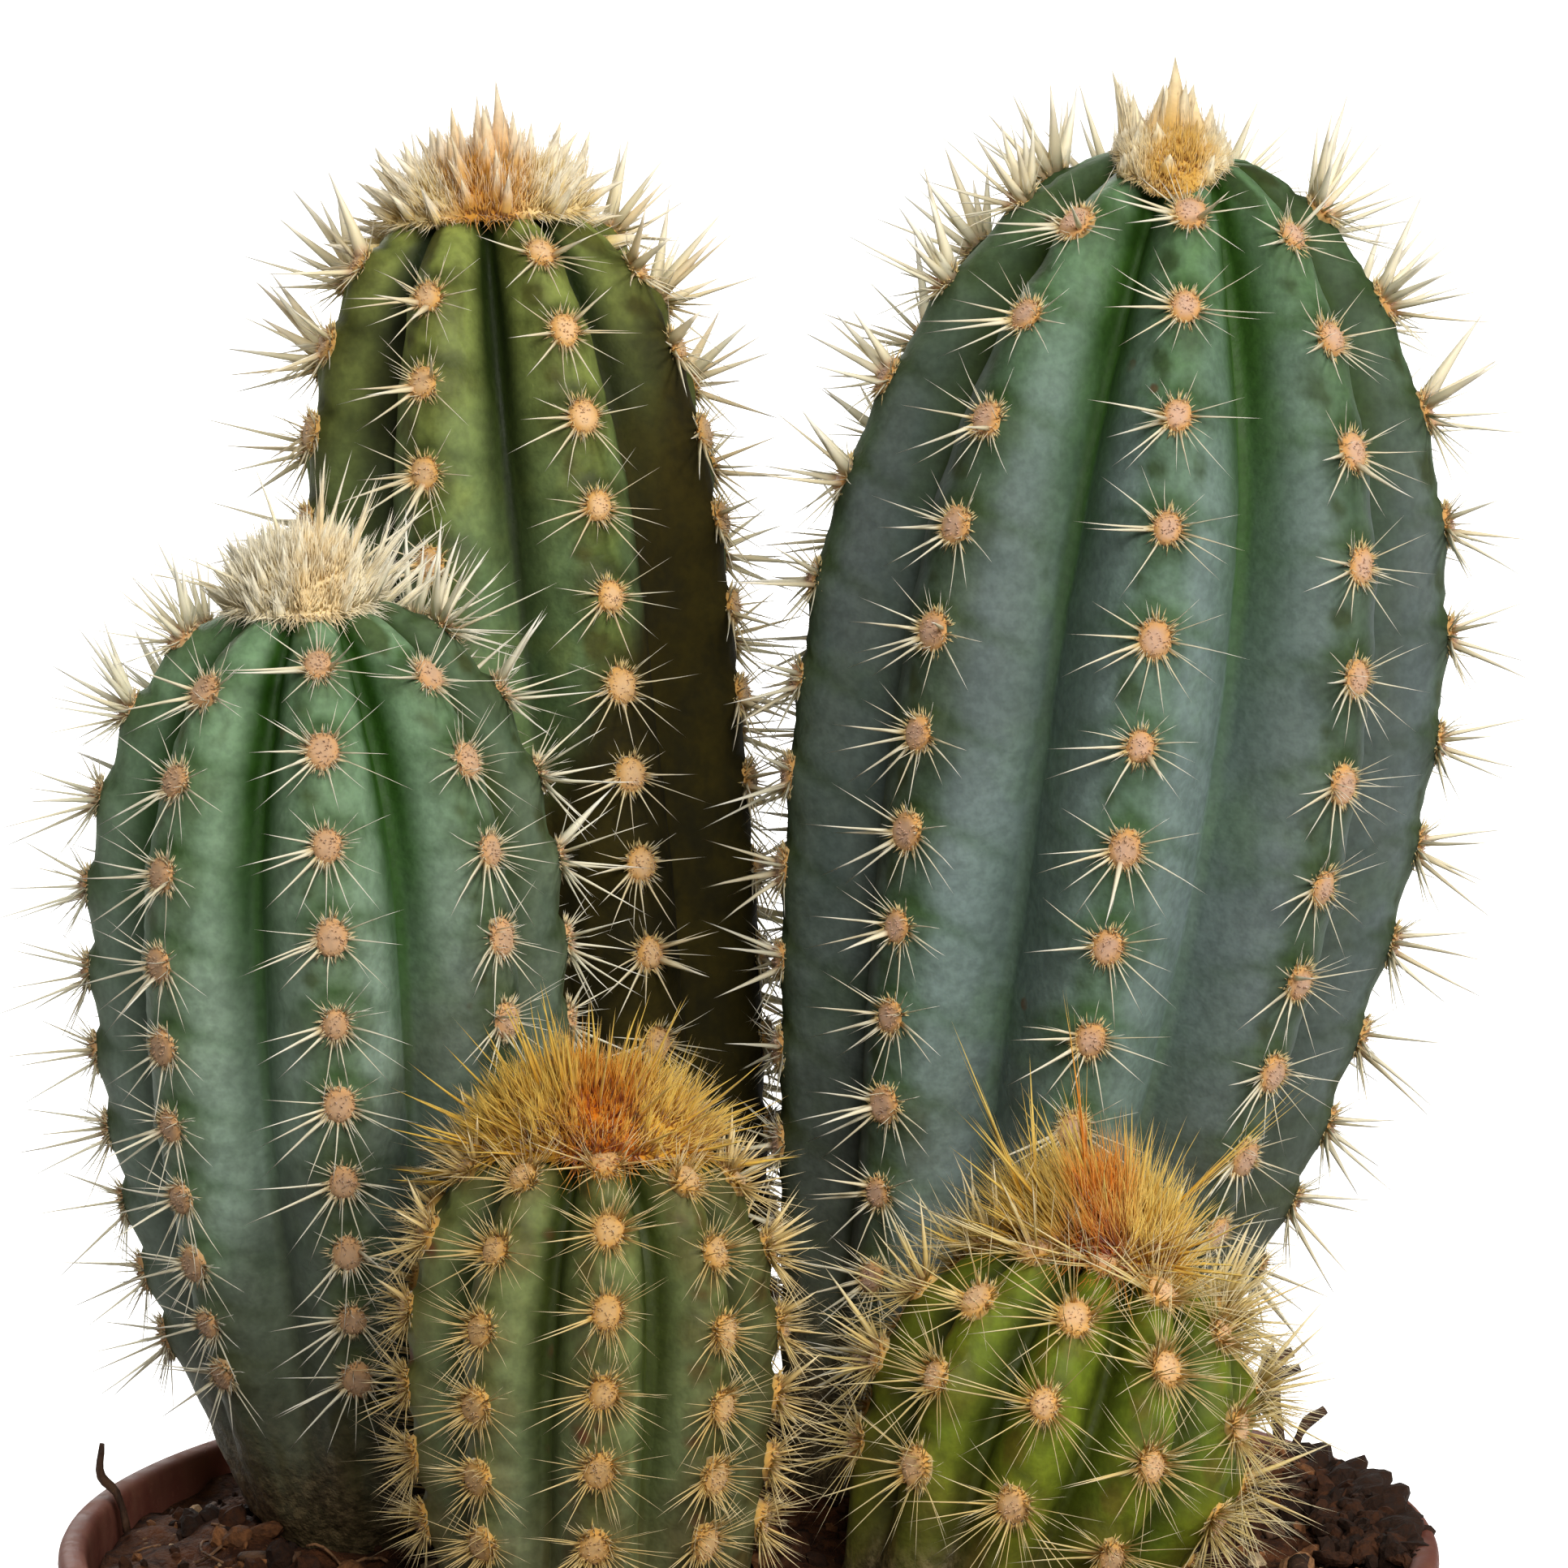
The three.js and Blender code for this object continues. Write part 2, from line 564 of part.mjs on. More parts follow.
// Sticks and bark on the soil: points along each, its thickness, and its width where it is flat.
const DEBRIS = [
  { route: [[47.6, 27.4, 94], [47.1, 27.5, 100], [46.3, 27.6, 105.3]], thick: 1.1 },
  { route: [[43.6, 27.2, 101.4], [49.2, 27.9, 103.2]], thick: 1, wide: 2.2 },
  { route: [[45.4, 27.5, 102.2], [46.5, 27.5, 103.8], [48.6, 27.8, 104.6]], thick: 0.9, wide: 1.6 },
  { route: [[48, 28, 92], [49.3, 28.6, 97.2], [51.6, 29.2, 99]], thick: 0.9 },
  { route: [[-54.4, 11, 91], [-55.6, 11.2, 95.6], [-56.9, 11.4, 98.4], [-56.5, 11.4, 100.6]], thick: 0.9 },
  { route: [[-42, -28, 91.5], [-40.5, -31, 95.4], [-36, -34, 96.2]], thick: 1, wide: 1.8 },
  { route: [[6, -40, 92], [9, -41, 95.6], [14, -43, 95]], thick: 1.1 },
  { route: [[44, -20, 92], [46.5, -18, 95.4], [47, -13, 96.4]], thick: 1, wide: 2 },
];

function makeStick({ route, thick, wide = thick }) {
  const curve = new THREE.CatmullRomCurve3(route.map((p) => V(...p)));
  const section = new THREE.Shape();
  section.moveTo(-thick / 2, -wide / 2).lineTo(thick / 2, -wide / 2);
  section.lineTo(thick / 2, wide / 2).lineTo(-thick / 2, wide / 2).closePath();
  return new THREE.ExtrudeGeometry(section, { steps: route.length, extrudePath: curve });
}

// Enters a stick among the spines, once from each end, so that no spine is drawn through it.
function keepClearOf({ route, thick, wide = thick }) {
  route.slice(1).forEach((end, i) => {
    const [a, b] = [V(...route[i]), V(...end)];
    const entry = { thick: Math.hypot(thick, wide), reach: a.distanceTo(b), cluster: "soil" };
    spines.push({ ...entry, root: a, tip: b }, { ...entry, root: b, tip: a });
  });
}

function makeSoil() {
  let solid = makeGround();
  for (const stick of DEBRIS) solid = solid.add(solidFrom(makeStick(stick)));
  for (const stem of stems) solid = solid.subtract(makeHole(stem));
  return geometryFrom(solid);
}

// ---- the group ----
const group = new THREE.Group();

function addPiece(name, geometry, color, roughness) {
  const mesh = new THREE.Mesh(geometry, new THREE.MeshStandardMaterial({ color, roughness, metalness: 0 }));
  mesh.name = name;
  group.add(mesh);
}

addPiece("pot", makePot(), 0x6e4a44, 0.55);
addPiece("soil", makeSoil(), 0x3c2a22, 0.95);
DEBRIS.forEach(keepClearOf);
for (const [i, stem] of stems.entries())
  addPiece(`crown_${stem.name}`, makeCrown(stem, drawsFrom(101 + i)), stem.crown.colour, 0.9);
for (const [i, stem] of stems.entries())
  addPiece(`stem_${stem.name}`, makeStem(stem, drawsFrom(211 + i)), stem.colour, 0.6);

export default group;
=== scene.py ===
"""Looks of a pot of five ribbed column cacti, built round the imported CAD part.

Lengths are in mm until a mesh is made, which is in metres. +Z is up and -Y is the front.
"""

import math

import bpy
import numpy as np
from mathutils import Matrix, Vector
from mathutils.geometry import delaunay_2d_cdt


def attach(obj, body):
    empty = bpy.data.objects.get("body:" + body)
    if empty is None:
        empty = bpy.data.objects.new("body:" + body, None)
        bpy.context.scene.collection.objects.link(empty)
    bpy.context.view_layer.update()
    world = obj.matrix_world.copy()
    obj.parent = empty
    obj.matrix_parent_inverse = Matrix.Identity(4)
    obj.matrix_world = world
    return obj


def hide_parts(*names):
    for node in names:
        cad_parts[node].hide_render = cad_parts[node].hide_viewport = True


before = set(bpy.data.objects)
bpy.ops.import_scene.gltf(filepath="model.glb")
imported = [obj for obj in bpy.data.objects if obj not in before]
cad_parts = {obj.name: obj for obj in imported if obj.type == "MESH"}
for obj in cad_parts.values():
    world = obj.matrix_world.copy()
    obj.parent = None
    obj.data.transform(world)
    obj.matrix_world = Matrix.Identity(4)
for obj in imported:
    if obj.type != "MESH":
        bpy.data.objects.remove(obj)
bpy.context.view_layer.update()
MM = 0.001

# ---- sizes that the CAD source has too ----
POT = dict(rim=60, lip=2.5, height=95, collar=11, step=1.2, wall=1.3, base=42, floor=2, foot_ring=1.2,
           drains=6, drain_radius=4, drain_circle=33)
INNER = POT["rim"] - POT["lip"]
SOIL = dict(level=94, heap=(48, 25), heap_height=4.6, heap_spread=7, dip=2.2, dip_from=0.72,
            lumps=[(0.45, 0.31, 0.27, 1.3), (0.3, 0.73, -0.5, 2.1), (0.25, 0.4, 0.9, 0)])
FOOT_DEPTH, FOOT_TAPER = 14, 0.7
LEVEL_SHARE = 0.35
AREOLE_EASE = 0.6
# A stem's crown is how high its wool stands over the tip, and the length of the tufts below it.
STEMS = {
    "back_left": dict(
        ribs=8, foot=(-13.5, 38.5), head=(-23.6, 46, 205.5), bow=-0.5, radius=19.9, foot_radius=14.5,
        widest=0.6, flare=0.7, dome=2.66, seat=6, groove=0.23, phase=-22, twist=8, cell=7.95, ease=0,
        starts=(1.95, 1.47, 1.85, 1.4, 1.9, 1.45, 1.8, 1.5), spine=7, bare=10, crown=(4, 5)),
    "back_right": dict(
        ribs=9, foot=(19, 25.5), head=(38.1, 29, 212), bow=2, radius=28.3, foot_radius=16.5,
        widest=0.61, flare=1.15, dome=1.95, seat=6.5, groove=0.22, phase=1.3, twist=2.7, cell=10.87,
        ease=0.14, starts=(1.21, 1.42, 1.15, 1.5, 1.2, 1.45, 1.2, 1.4, 1.51), spine=7.6, bare=10,
        crown=(4, 5.5)),
    "front_left": dict(
        ribs=8, foot=(-33.2, 8.5), head=(-37.5, 2, 176.8), bow=-0.6, radius=20.2, foot_radius=9.5,
        widest=0.62, flare=0.82, dome=2.29, seat=6.5, groove=0.22, phase=4.9, twist=-2.3, cell=8.87,
        ease=0.15, starts=(1.14, 1.48, 1.1, 1.5, 1.15, 1.5, 1.1, 1.55), spine=7.6, bare=13,
        crown=(4.2, 6)),
    "front_mid": dict(
        ribs=9, foot=(-13, -21), head=(-13.3, -21, 136.2), bow=-0.2, radius=15.6, foot_radius=12.5,
        widest=0.56, flare=1.19, dome=2.24, seat=5.5, groove=0.24, phase=9.2, twist=-10, cell=7.31,
        ease=0.11, starts=(0.98, 1.4, 1.67, 1.1, 1.5, 1, 1.4, 1.36, 1.3), spine=5.6, bare=5,
        crown=(2.6, 8)),
    "front_right": dict(
        ribs=10, foot=(18.5, -15), head=(32.6, -12, 123), bow=0.8, radius=16.4, foot_radius=11.3,
        widest=0.52, flare=1.22, dome=1.91, seat=5.5, groove=0.24, phase=-18, twist=18, cell=8.5,
        ease=0.12, starts=(0.75, 0.9, 1.3, 1, 1.3, 1, 1.3, 1, 1.38, 1.1), spine=8.6, bare=5,
        crown=(3, 8)),
}
# Sticks and bark on the soil: points along each, its thickness and its width.
DEBRIS = [
    (((47.6, 27.4, 94), (47.1, 27.5, 100), (46.3, 27.6, 105.3)), 1.1, 1.1),
    (((43.6, 27.2, 101.4), (49.2, 27.9, 103.2)), 1, 2.2),
    (((45.4, 27.5, 102.2), (46.5, 27.5, 103.8), (48.6, 27.8, 104.6)), 0.9, 1.6),
    (((48, 28, 92), (49.3, 28.6, 97.2), (51.6, 29.2, 99)), 0.9, 0.9),
    (((-54.9, 11.1, 92.5), (-55.7, 11.2, 95.8), (-57.2, 11.4, 97.6), (-57.0, 11.4, 100.4)), 0.75, 0.75),
    (((-42, -28, 91.5), (-40.5, -31, 95.4), (-36, -34, 96.2)), 1, 1.8),
    (((6, -40, 92), (9, -41, 95.6), (14, -43, 95)), 1.1, 1.1),
    (((44, -20, 92), (46.5, -18, 95.4), (47, -13, 96.4)), 1, 2),
]


# ---- sizes of the fine pieces ----
def each(*values):
    """One value for each stem, in the order of STEMS."""
    return dict(zip(STEMS, values))


PER_RIB = each(18, 20, 18, 14, 14)  # points round a rib
SKIN_STEP = 1.05
FOOT_STEPS = (0.25, 0.6, 1)
# Pads: their radius; how far their middle rises, where it starts, and how wide and tall they are; the
# rings, out from the middle and up; their hairs, with the number, where they start (squared), how far
# they lie down and their lengths.
PAD = each(1.26, 1.34, 1.26, 1.28, 1.34)
PAD_RISE, PAD_LIFT, PAD_WIDE, PAD_TALL = 0.44, 0.6, 0.95, 1.12
PAD_RINGS = ((0.3, 0.98), (0.6, 0.9), (0.86, 0.68), (1.06, 0.2), (1.22, -1.4))
PAD_HAIRS = ((64, 0.02, 1.3, 0.5, 0.3, 0.5), (64, 0.75, 1.5, 1.5, 0.55, 1.1))
# A bank of crumbs has spilled on to the rim: its distance out, its level and how far it rises, its
# thickness and width, and the degrees that it covers; and the crumbs on it.
BANK = dict(out=55.8, level=93.3, rise=1.1, thick=3.8, wide=6.4, turn=(-3, 31))
SPILL = dict(many=800, out=(50, 58.8), level=94.2, rise=1.2, turn=(-7, 36))
CRUMBS, CHIPS, FIBRES = 1500, 46, 80
# The soil's mesh: the radius of its top, how far out the top is rough and where loose bits end; the rings
# from there to the pot's floor; and its room round a stem's skin and foot.
SOIL_EDGE, SOIL_ROUGH, SOIL_LOOSE = 56.8, 56.4, 55.5
SOIL_RINGS = ((56.6, 88), (56.4, 83), (48.4, 43), (40.4, 2.3))
SKIN_ROOM, FOOT_ROOM = 0.22, 0.4
# Spines stay this far off the soil and the rim, and off the skin of their own stem.
BED_ROOM, OWN_ROOM = 0.8, 0.15
# Spines of an areole: heading from the right-hand side, degrees; climb off the skin; share of the
# length; thickness. The radials lie over the skin from the pad's rim, the centrals stand out from it
# and the young ones are the stout upward spines next to the crown.
RADIALS = [(-6, 20, 0.9, 0.9), (-24, 18, 0.9, 0.8), (-48, 20, 0.8, 0.75), (-72, 24, 0.85, 0.85),
           (-98, 24, 0.8, 0.9), (-122, 21, 0.9, 1.1), (-142, 19, 1, 1.45), (-160, 18, 1.05, 1.6),
           (-177, 20, 1, 1.4), (158, 24, 0.85, 0.9), (24, 24, 0.8, 0.75), (50, 32, 0.65, 0.6),
           (130, 32, 0.65, 0.6)]
CENTRALS = [(-92, 60, 0.95, 1.7), (-38, 66, 0.95, 1.7), (-148, 66, 0.95, 1.7), (30, 58, 0.9, 1.5),
            (150, 58, 0.9, 1.5)]
YOUNG = [(90, 56, 0.85, 3.7), (64, 50, 0.95, 3.8), (116, 50, 0.95, 3.8), (36, 56, 0.85, 3.3),
         (144, 56, 0.85, 3.3), (0, 66, 0.8, 2.8), (180, 66, 0.8, 2.8)]
SPINE_RADIUS = 0.155
# How stout the centrals and young spines are, and how much longer towards the sides and the back.
STOUT = each(1.3, 1.2, 0.8, 0.6, 0.6)
SIDE_REACH = each(0.42, 0.3, 0.25, 0.05, 0.15)
# Bristles of an areole: their number, and the shortest and longest length.
BRISTLES = each((12, 2, 4.6), (12, 2, 4.6), (14, 2, 5), (44, 2.5, 6.5), (76, 3.5, 9.5))
# Radials: how often their plan is repeated, the share kept, their thickness and length.
RADIAL_SET = each((1, 0.85, 1, 1), (1, 0.85, 1, 1), (1, 0.8, 0.95, 1), (2, 0.52, 0.62, 1.2),
                  (2, 0.6, 0.72, 1.15))
# The felt of a crown: the number of hairs, and the shortest and longest. GOLDEN_TURN spreads the tufts.
FELT, HAIR_RADIUS, GOLDEN_TURN = (3800, 0.8, 1.9), 0.1, 2.399963
# Crowns: half width and half depth of the wool, how far it sits right and back of the middle, and its
# height; the tufts over it, their thickness, their length in the middle and at the foot, and how far
# they lean at the front and at the sides; the skirt of tufts below it, with their number, how far down
# the skin they start and their thickness; fine hairs with shortest and longest length, and how much
# they stand up; how far all of it is swept to the right; long single spines, with their number and
# lengths. The heart is where the wool is darkest, to the right of the middle, and its width. A peak is a
# tuft's root (right, back, up), its tip and its thickness.
CROWNS = {
    "back_left": dict(
        wide=(8.6, 7.6), shift=(0.2, -0.4), tall=4.2, over=50, thick=0.9, long0=3.6, long1=4.6,
        lean=(20, 70), skirt=(38, 4.2, 0.75), hairs=1500, hair=(1.6, 3.2), stand=1.0, heart=(0.1, 3.9),
        peaks=[(-1.9, -1, 0.5, -2.4, -1, 9.3, 1.8), (-0.2, -1.4, 0.5, -0.4, -0.5, 9.6, 1.8),
               (1.6, -1, 0.5, 1.9, -1, 9.9, 2.1), (0.8, -1.8, 0, 0.9, -1.6, 8.6, 1.8),
               (-1.1, -1.8, 0, -1.4, -1.6, 8.3, 1.8), (2.6, -1, 0.5, 3.0, -1, 8.3, 1.8),
               (-2.8, -1, 0.5, -3.5, -1, 7.7, 1.8), (3.6, -0.6, 0.5, 4.6, -0.4, 7.6, 1.6),
               (-3.6, -0.6, 0.5, -4.7, -0.4, 7.0, 1.6), (5.4, 0, 1, 7.2, 0, 7.6, 1.3),
               (-5.2, 0, 1, -7.2, 0, 6.4, 1.3), (-6.8, 0, 0, -9.6, 0, 6.4, 1.2),
               (7.4, 0, 0, 10, 0, 6.5, 1.3), (0, 3, 3, 0.5, 4, 9, 1.8)]),
    "back_right": dict(
        wide=(4.3, 7.4), shift=(-1.3, -3.6), tall=2.4, over=22, thick=1.1, long0=1.8, long1=1.8,
        lean=(14, 30), skirt=(8, 0.6, 0.5), hairs=800, hair=(0.8, 1.6), stand=1.2, heart=(-0.9, 2.6),
        peaks=[(-1.0, -3.0, -1, -1.6, -1.4, 8.4, 2.6), (-1.8, -3.2, -1, -2.2, -1.8, 6.9, 2.0),
               (-0.3, -3.4, -1, -0.9, -2.0, 7.0, 2.0), (-2.9, -2.6, -1, -2.9, -1.6, 6.0, 2.2),
               (-4.2, -2, -1, -5.0, -1.5, 5.4, 2.2), (-4.6, -1.5, 0, -6.6, -1, 7.9, 1.2),
               (-5.0, -1.8, -1.5, -5.9, -1.2, 3.2, 1.8), (0.8, -2.5, -1, 0.6, -1.4, 6.4, 2.1),
               (1.6, -2.3, -1, 2.0, -1.4, 5.0, 2.2), (2.8, -1.8, -1.5, 3.6, -0.8, 3.3, 2.0),
               (-0.4, 1, 1, 0.2, 2, 6.4, 1.7)]),
    "front_left": dict(
        wide=(6.0, 5.4), shift=(-0.8, -0.2), tall=5.6, over=64, thick=0.55, long0=2.4, long1=3.6,
        lean=(8, 58), skirt=(26, 1.8, 0.4), hairs=1800, hair=(1.6, 3.6), stand=1.3, long=(10, 7, 10),
        heart=(0.6, 3.0),
        peaks=[(3.6, -1, 1, 9.6, -1.5, 9.2, 0.6), (4.6, 0, 1, 12, 0, 7, 0.55), (2.8, 0, 3, 6.2, 1, 11.2, 0.5),
               (0.6, 1, 4, 1.2, 1, 12.6, 0.45), (5, -1.5, 0.5, 8.4, -3, 7.2, 0.5),
               (4.4, -1, 0, 7.4, -1, 8.6, 0.6), (-5.2, -0.6, 0, -8, -0.6, 5.6, 0.6),
               (-4.4, -0.6, 1, -6.4, -0.6, 7.4, 0.6)]),
    "front_mid": dict(
        wide=(9.6, 8.2), shift=(0, 0), tall=3.8, over=44, thick=0.3, long0=3.6, long1=4.4, lean=(24, 66),
        skirt=(16, 5.6, 0.26), hairs=3000, hair=(2.0, 4.6), stand=0.45, long=(80, 5, 9.4),
        heart=(0.9, 3.4), peaks=[]),
    "front_right": dict(
        wide=(6.6, 6.6), shift=(-2.8, -0.6), tall=3.8, over=24, thick=0.28, long0=4.2, long1=5, lean=(24, 62),
        skirt=(14, 4.2, 0.26), hairs=3000, hair=(3, 7.0), stand=0.6, sway=-0.5, long=(60, 6, 12),
        heart=(-3.4, 2.4),
        peaks=[(-4.7, -1, 2.5, -13.2, -3, 20.6, 0.22), (-9, -2, 0, -21.5, -5, 13.8, 0.22),
               (0.9, 0, 3, 9.3, -1, 19.4, 0.2), (-9, 0, 1, -13.6, -1, 12.2, 0.22)]),
}
# Painted shade: skin that turns from the light is darkened, most of all low down between the stems, and
# it fades out towards the back: the side, how far down the skin and how far round it has to be, and how
# dark it gets.
SHADE = {
    "back_left": [(1, (5, 15, 25, 40, 52, 74), (0.85, 0.66, 0.54, 0.4, 0.0, -0.7), 1.0),
                  (-1, (2, 14), (0.9, 0.4), 0.36)],
    "back_right": [(-1, (15, 35, 55, 78), (0.62, 0.28, 0.2, 0.5), 0.46), (1, (0, 50), (0.62, 0.36), 0.42)],
    "front_left": [(1, (5, 15, 30, 40, 52, 66), (0.75, 0.6, 0.5, 0.25, -0.5, -1), 0.52),
                   (-1, (5, 40), (0.9, 0.6), 0.2)],
    "front_mid": [(1, (10, 40), (0.7, 0.3), 0.5)],
    "front_right": [(-1, (10, 30), (0.8, 0.4), 0.45)],
}


# ---- small helpers ----
def unit(v):
    return v / np.maximum(np.linalg.norm(v, axis=-1, keepdims=True), 1e-12)


def smooth(x):
    x = np.clip(x, 0, 1)
    return x * x * (3 - 2 * x)


def noise(points, size, seed=0):
    """Smooth noise from -1 to 1 that changes over about size mm."""
    p = np.asarray(points, float) / size
    cell = np.floor(p).astype(np.int64)
    f = smooth(p - cell)
    total = 0
    for corner in np.ndindex(2, 2, 2):
        at = cell + corner
        h = at[..., 0] * 374761393 + at[..., 1] * 668265263 + at[..., 2] * 1440662683 + seed * 974634777
        h &= 0xFFFFFFFF
        h = ((h ^ (h >> 13)) * 1274126177) & 0xFFFFFFFF
        value = ((h ^ (h >> 16)) & 0xFFFF) / 32767.5 - 1
        total = total + value * np.prod(np.where(corner, f, 1 - f), axis=-1)
    return total


def start_slow(x):
    return x * x * (2 - x) * 0.5 + x * 0.5


def soil_height(x, y):
    away = np.hypot(x, y) / INNER
    dip = SOIL["dip"] * smooth((away - SOIL["dip_from"]) / (1 - SOIL["dip_from"]))
    heap_away = np.hypot(x - SOIL["heap"][0], y - SOIL["heap"][1]) / SOIL["heap_spread"]
    height = SOIL["level"] + SOIL["heap_height"] * np.exp(-heap_away**2) - dip
    for size, along_x, along_y, shift in SOIL["lumps"]:
        height = height + size * np.sin(along_x * x + along_y * y + shift)
    return height


def ring_of(radius, sides, height=None):
    """Points round a circle, from the front and turning right, at a height if one is given."""
    turn = 2 * np.pi * np.arange(sides) / sides
    ring = np.stack([radius * np.sin(turn), -radius * np.cos(turn)], -1)
    return ring if height is None else np.column_stack([ring, np.full(sides, height)])


class Batch:
    """A mesh gathered from many small ones, with float values at its points."""

    def __init__(self, *names):
        self.points, self.count = [], 0
        self.faces = {3: [], 4: []}
        self.values = {name: [] for name in names}

    def add(self, points, *faces, **values):
        points = np.asarray(points, float).reshape(-1, 3)
        for made in faces:
            made = np.asarray(made, np.int64)
            self.faces[made.shape[-1]].append(made.reshape(-1, made.shape[-1]) + self.count)
        for name, kept in self.values.items():
            kept.append(np.broadcast_to(np.asarray(values.get(name, 0), float), len(points)).copy())
        self.points.append(points)
        self.count += len(points)

    def add_copies(self, points, *faces, **values):
        """Adds many meshes of one kind, from the points of each and the faces of the first."""
        many, per = points.shape[:2]
        start = (np.arange(many) * per)[:, None, None]
        spread = {key: np.broadcast_to(value, (many, per)).ravel() for key, value in values.items()}
        self.add(points, *[(start + made).reshape(-1, made.shape[-1]) for made in faces], **spread)

    def make(self, name, material, slot, *nodes, flat=False):
        """The finished piece, which rides on the part and stands for these nodes."""
        mesh = bpy.data.meshes.new(name)
        points = np.concatenate(self.points) * MM
        faces = [np.concatenate(made) for made in self.faces.values() if made]
        loops = np.concatenate([made.ravel() for made in faces])
        sizes = np.concatenate([np.full(len(made), made.shape[1]) for made in faces])
        mesh.vertices.add(len(points))
        mesh.vertices.foreach_set("co", points.astype(np.float32).ravel())
        mesh.loops.add(len(loops))
        mesh.loops.foreach_set("vertex_index", loops.astype(np.int32))
        mesh.polygons.add(len(sizes))
        mesh.polygons.foreach_set("loop_start", (np.cumsum(sizes) - sizes).astype(np.int32))
        mesh.polygons.foreach_set("use_smooth", np.full(len(sizes), not flat))
        mesh.update(calc_edges=True)
        mesh.validate()
        for key, kept in self.values.items():
            values = np.concatenate(kept).astype(np.float32)
            mesh.attributes.new(key, "FLOAT", "POINT").data.foreach_set("value", values)
        mesh.materials.append(material)
        piece = bpy.data.objects.new(name, mesh)
        bpy.context.scene.collection.objects.link(piece)
        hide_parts(*nodes)
        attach(piece, "root")


def grid_faces(rows, cols):
    """Quads of a closed-round grid whose rows run down an outward surface, turning to the right."""
    r, c = np.mgrid[0:rows - 1, 0:cols]
    a, b = r * cols + c, r * cols + (c + 1) % cols
    return np.stack([a, a + cols, b + cols, b], -1).reshape(-1, 4)


def fan_faces(centre, ring, flip=False):
    """Triangles from a centre point to a ring, which turns right as seen from outside."""
    after = np.roll(ring, -1)
    pair = (after, ring) if flip else (ring, after)
    return np.stack([np.full(len(ring), centre), *pair], -1)


def tube_faces(rows, cols):
    """Quads like those of grid_faces, for rings that turn to the left."""
    return np.roll(np.flip(grid_faces(rows, cols), 1), 1, 1)


def closed_faces(rows, cols, left=False):
    """Quads and end triangles of a grid whose two end points come after its own points."""
    ring = np.arange(cols)
    last = (rows - 1) * cols + ring
    caps = [fan_faces(rows * cols, ring, left), fan_faces(rows * cols + 1, last, not left)]
    return (tube_faces if left else grid_faces)(rows, cols), np.concatenate(caps)


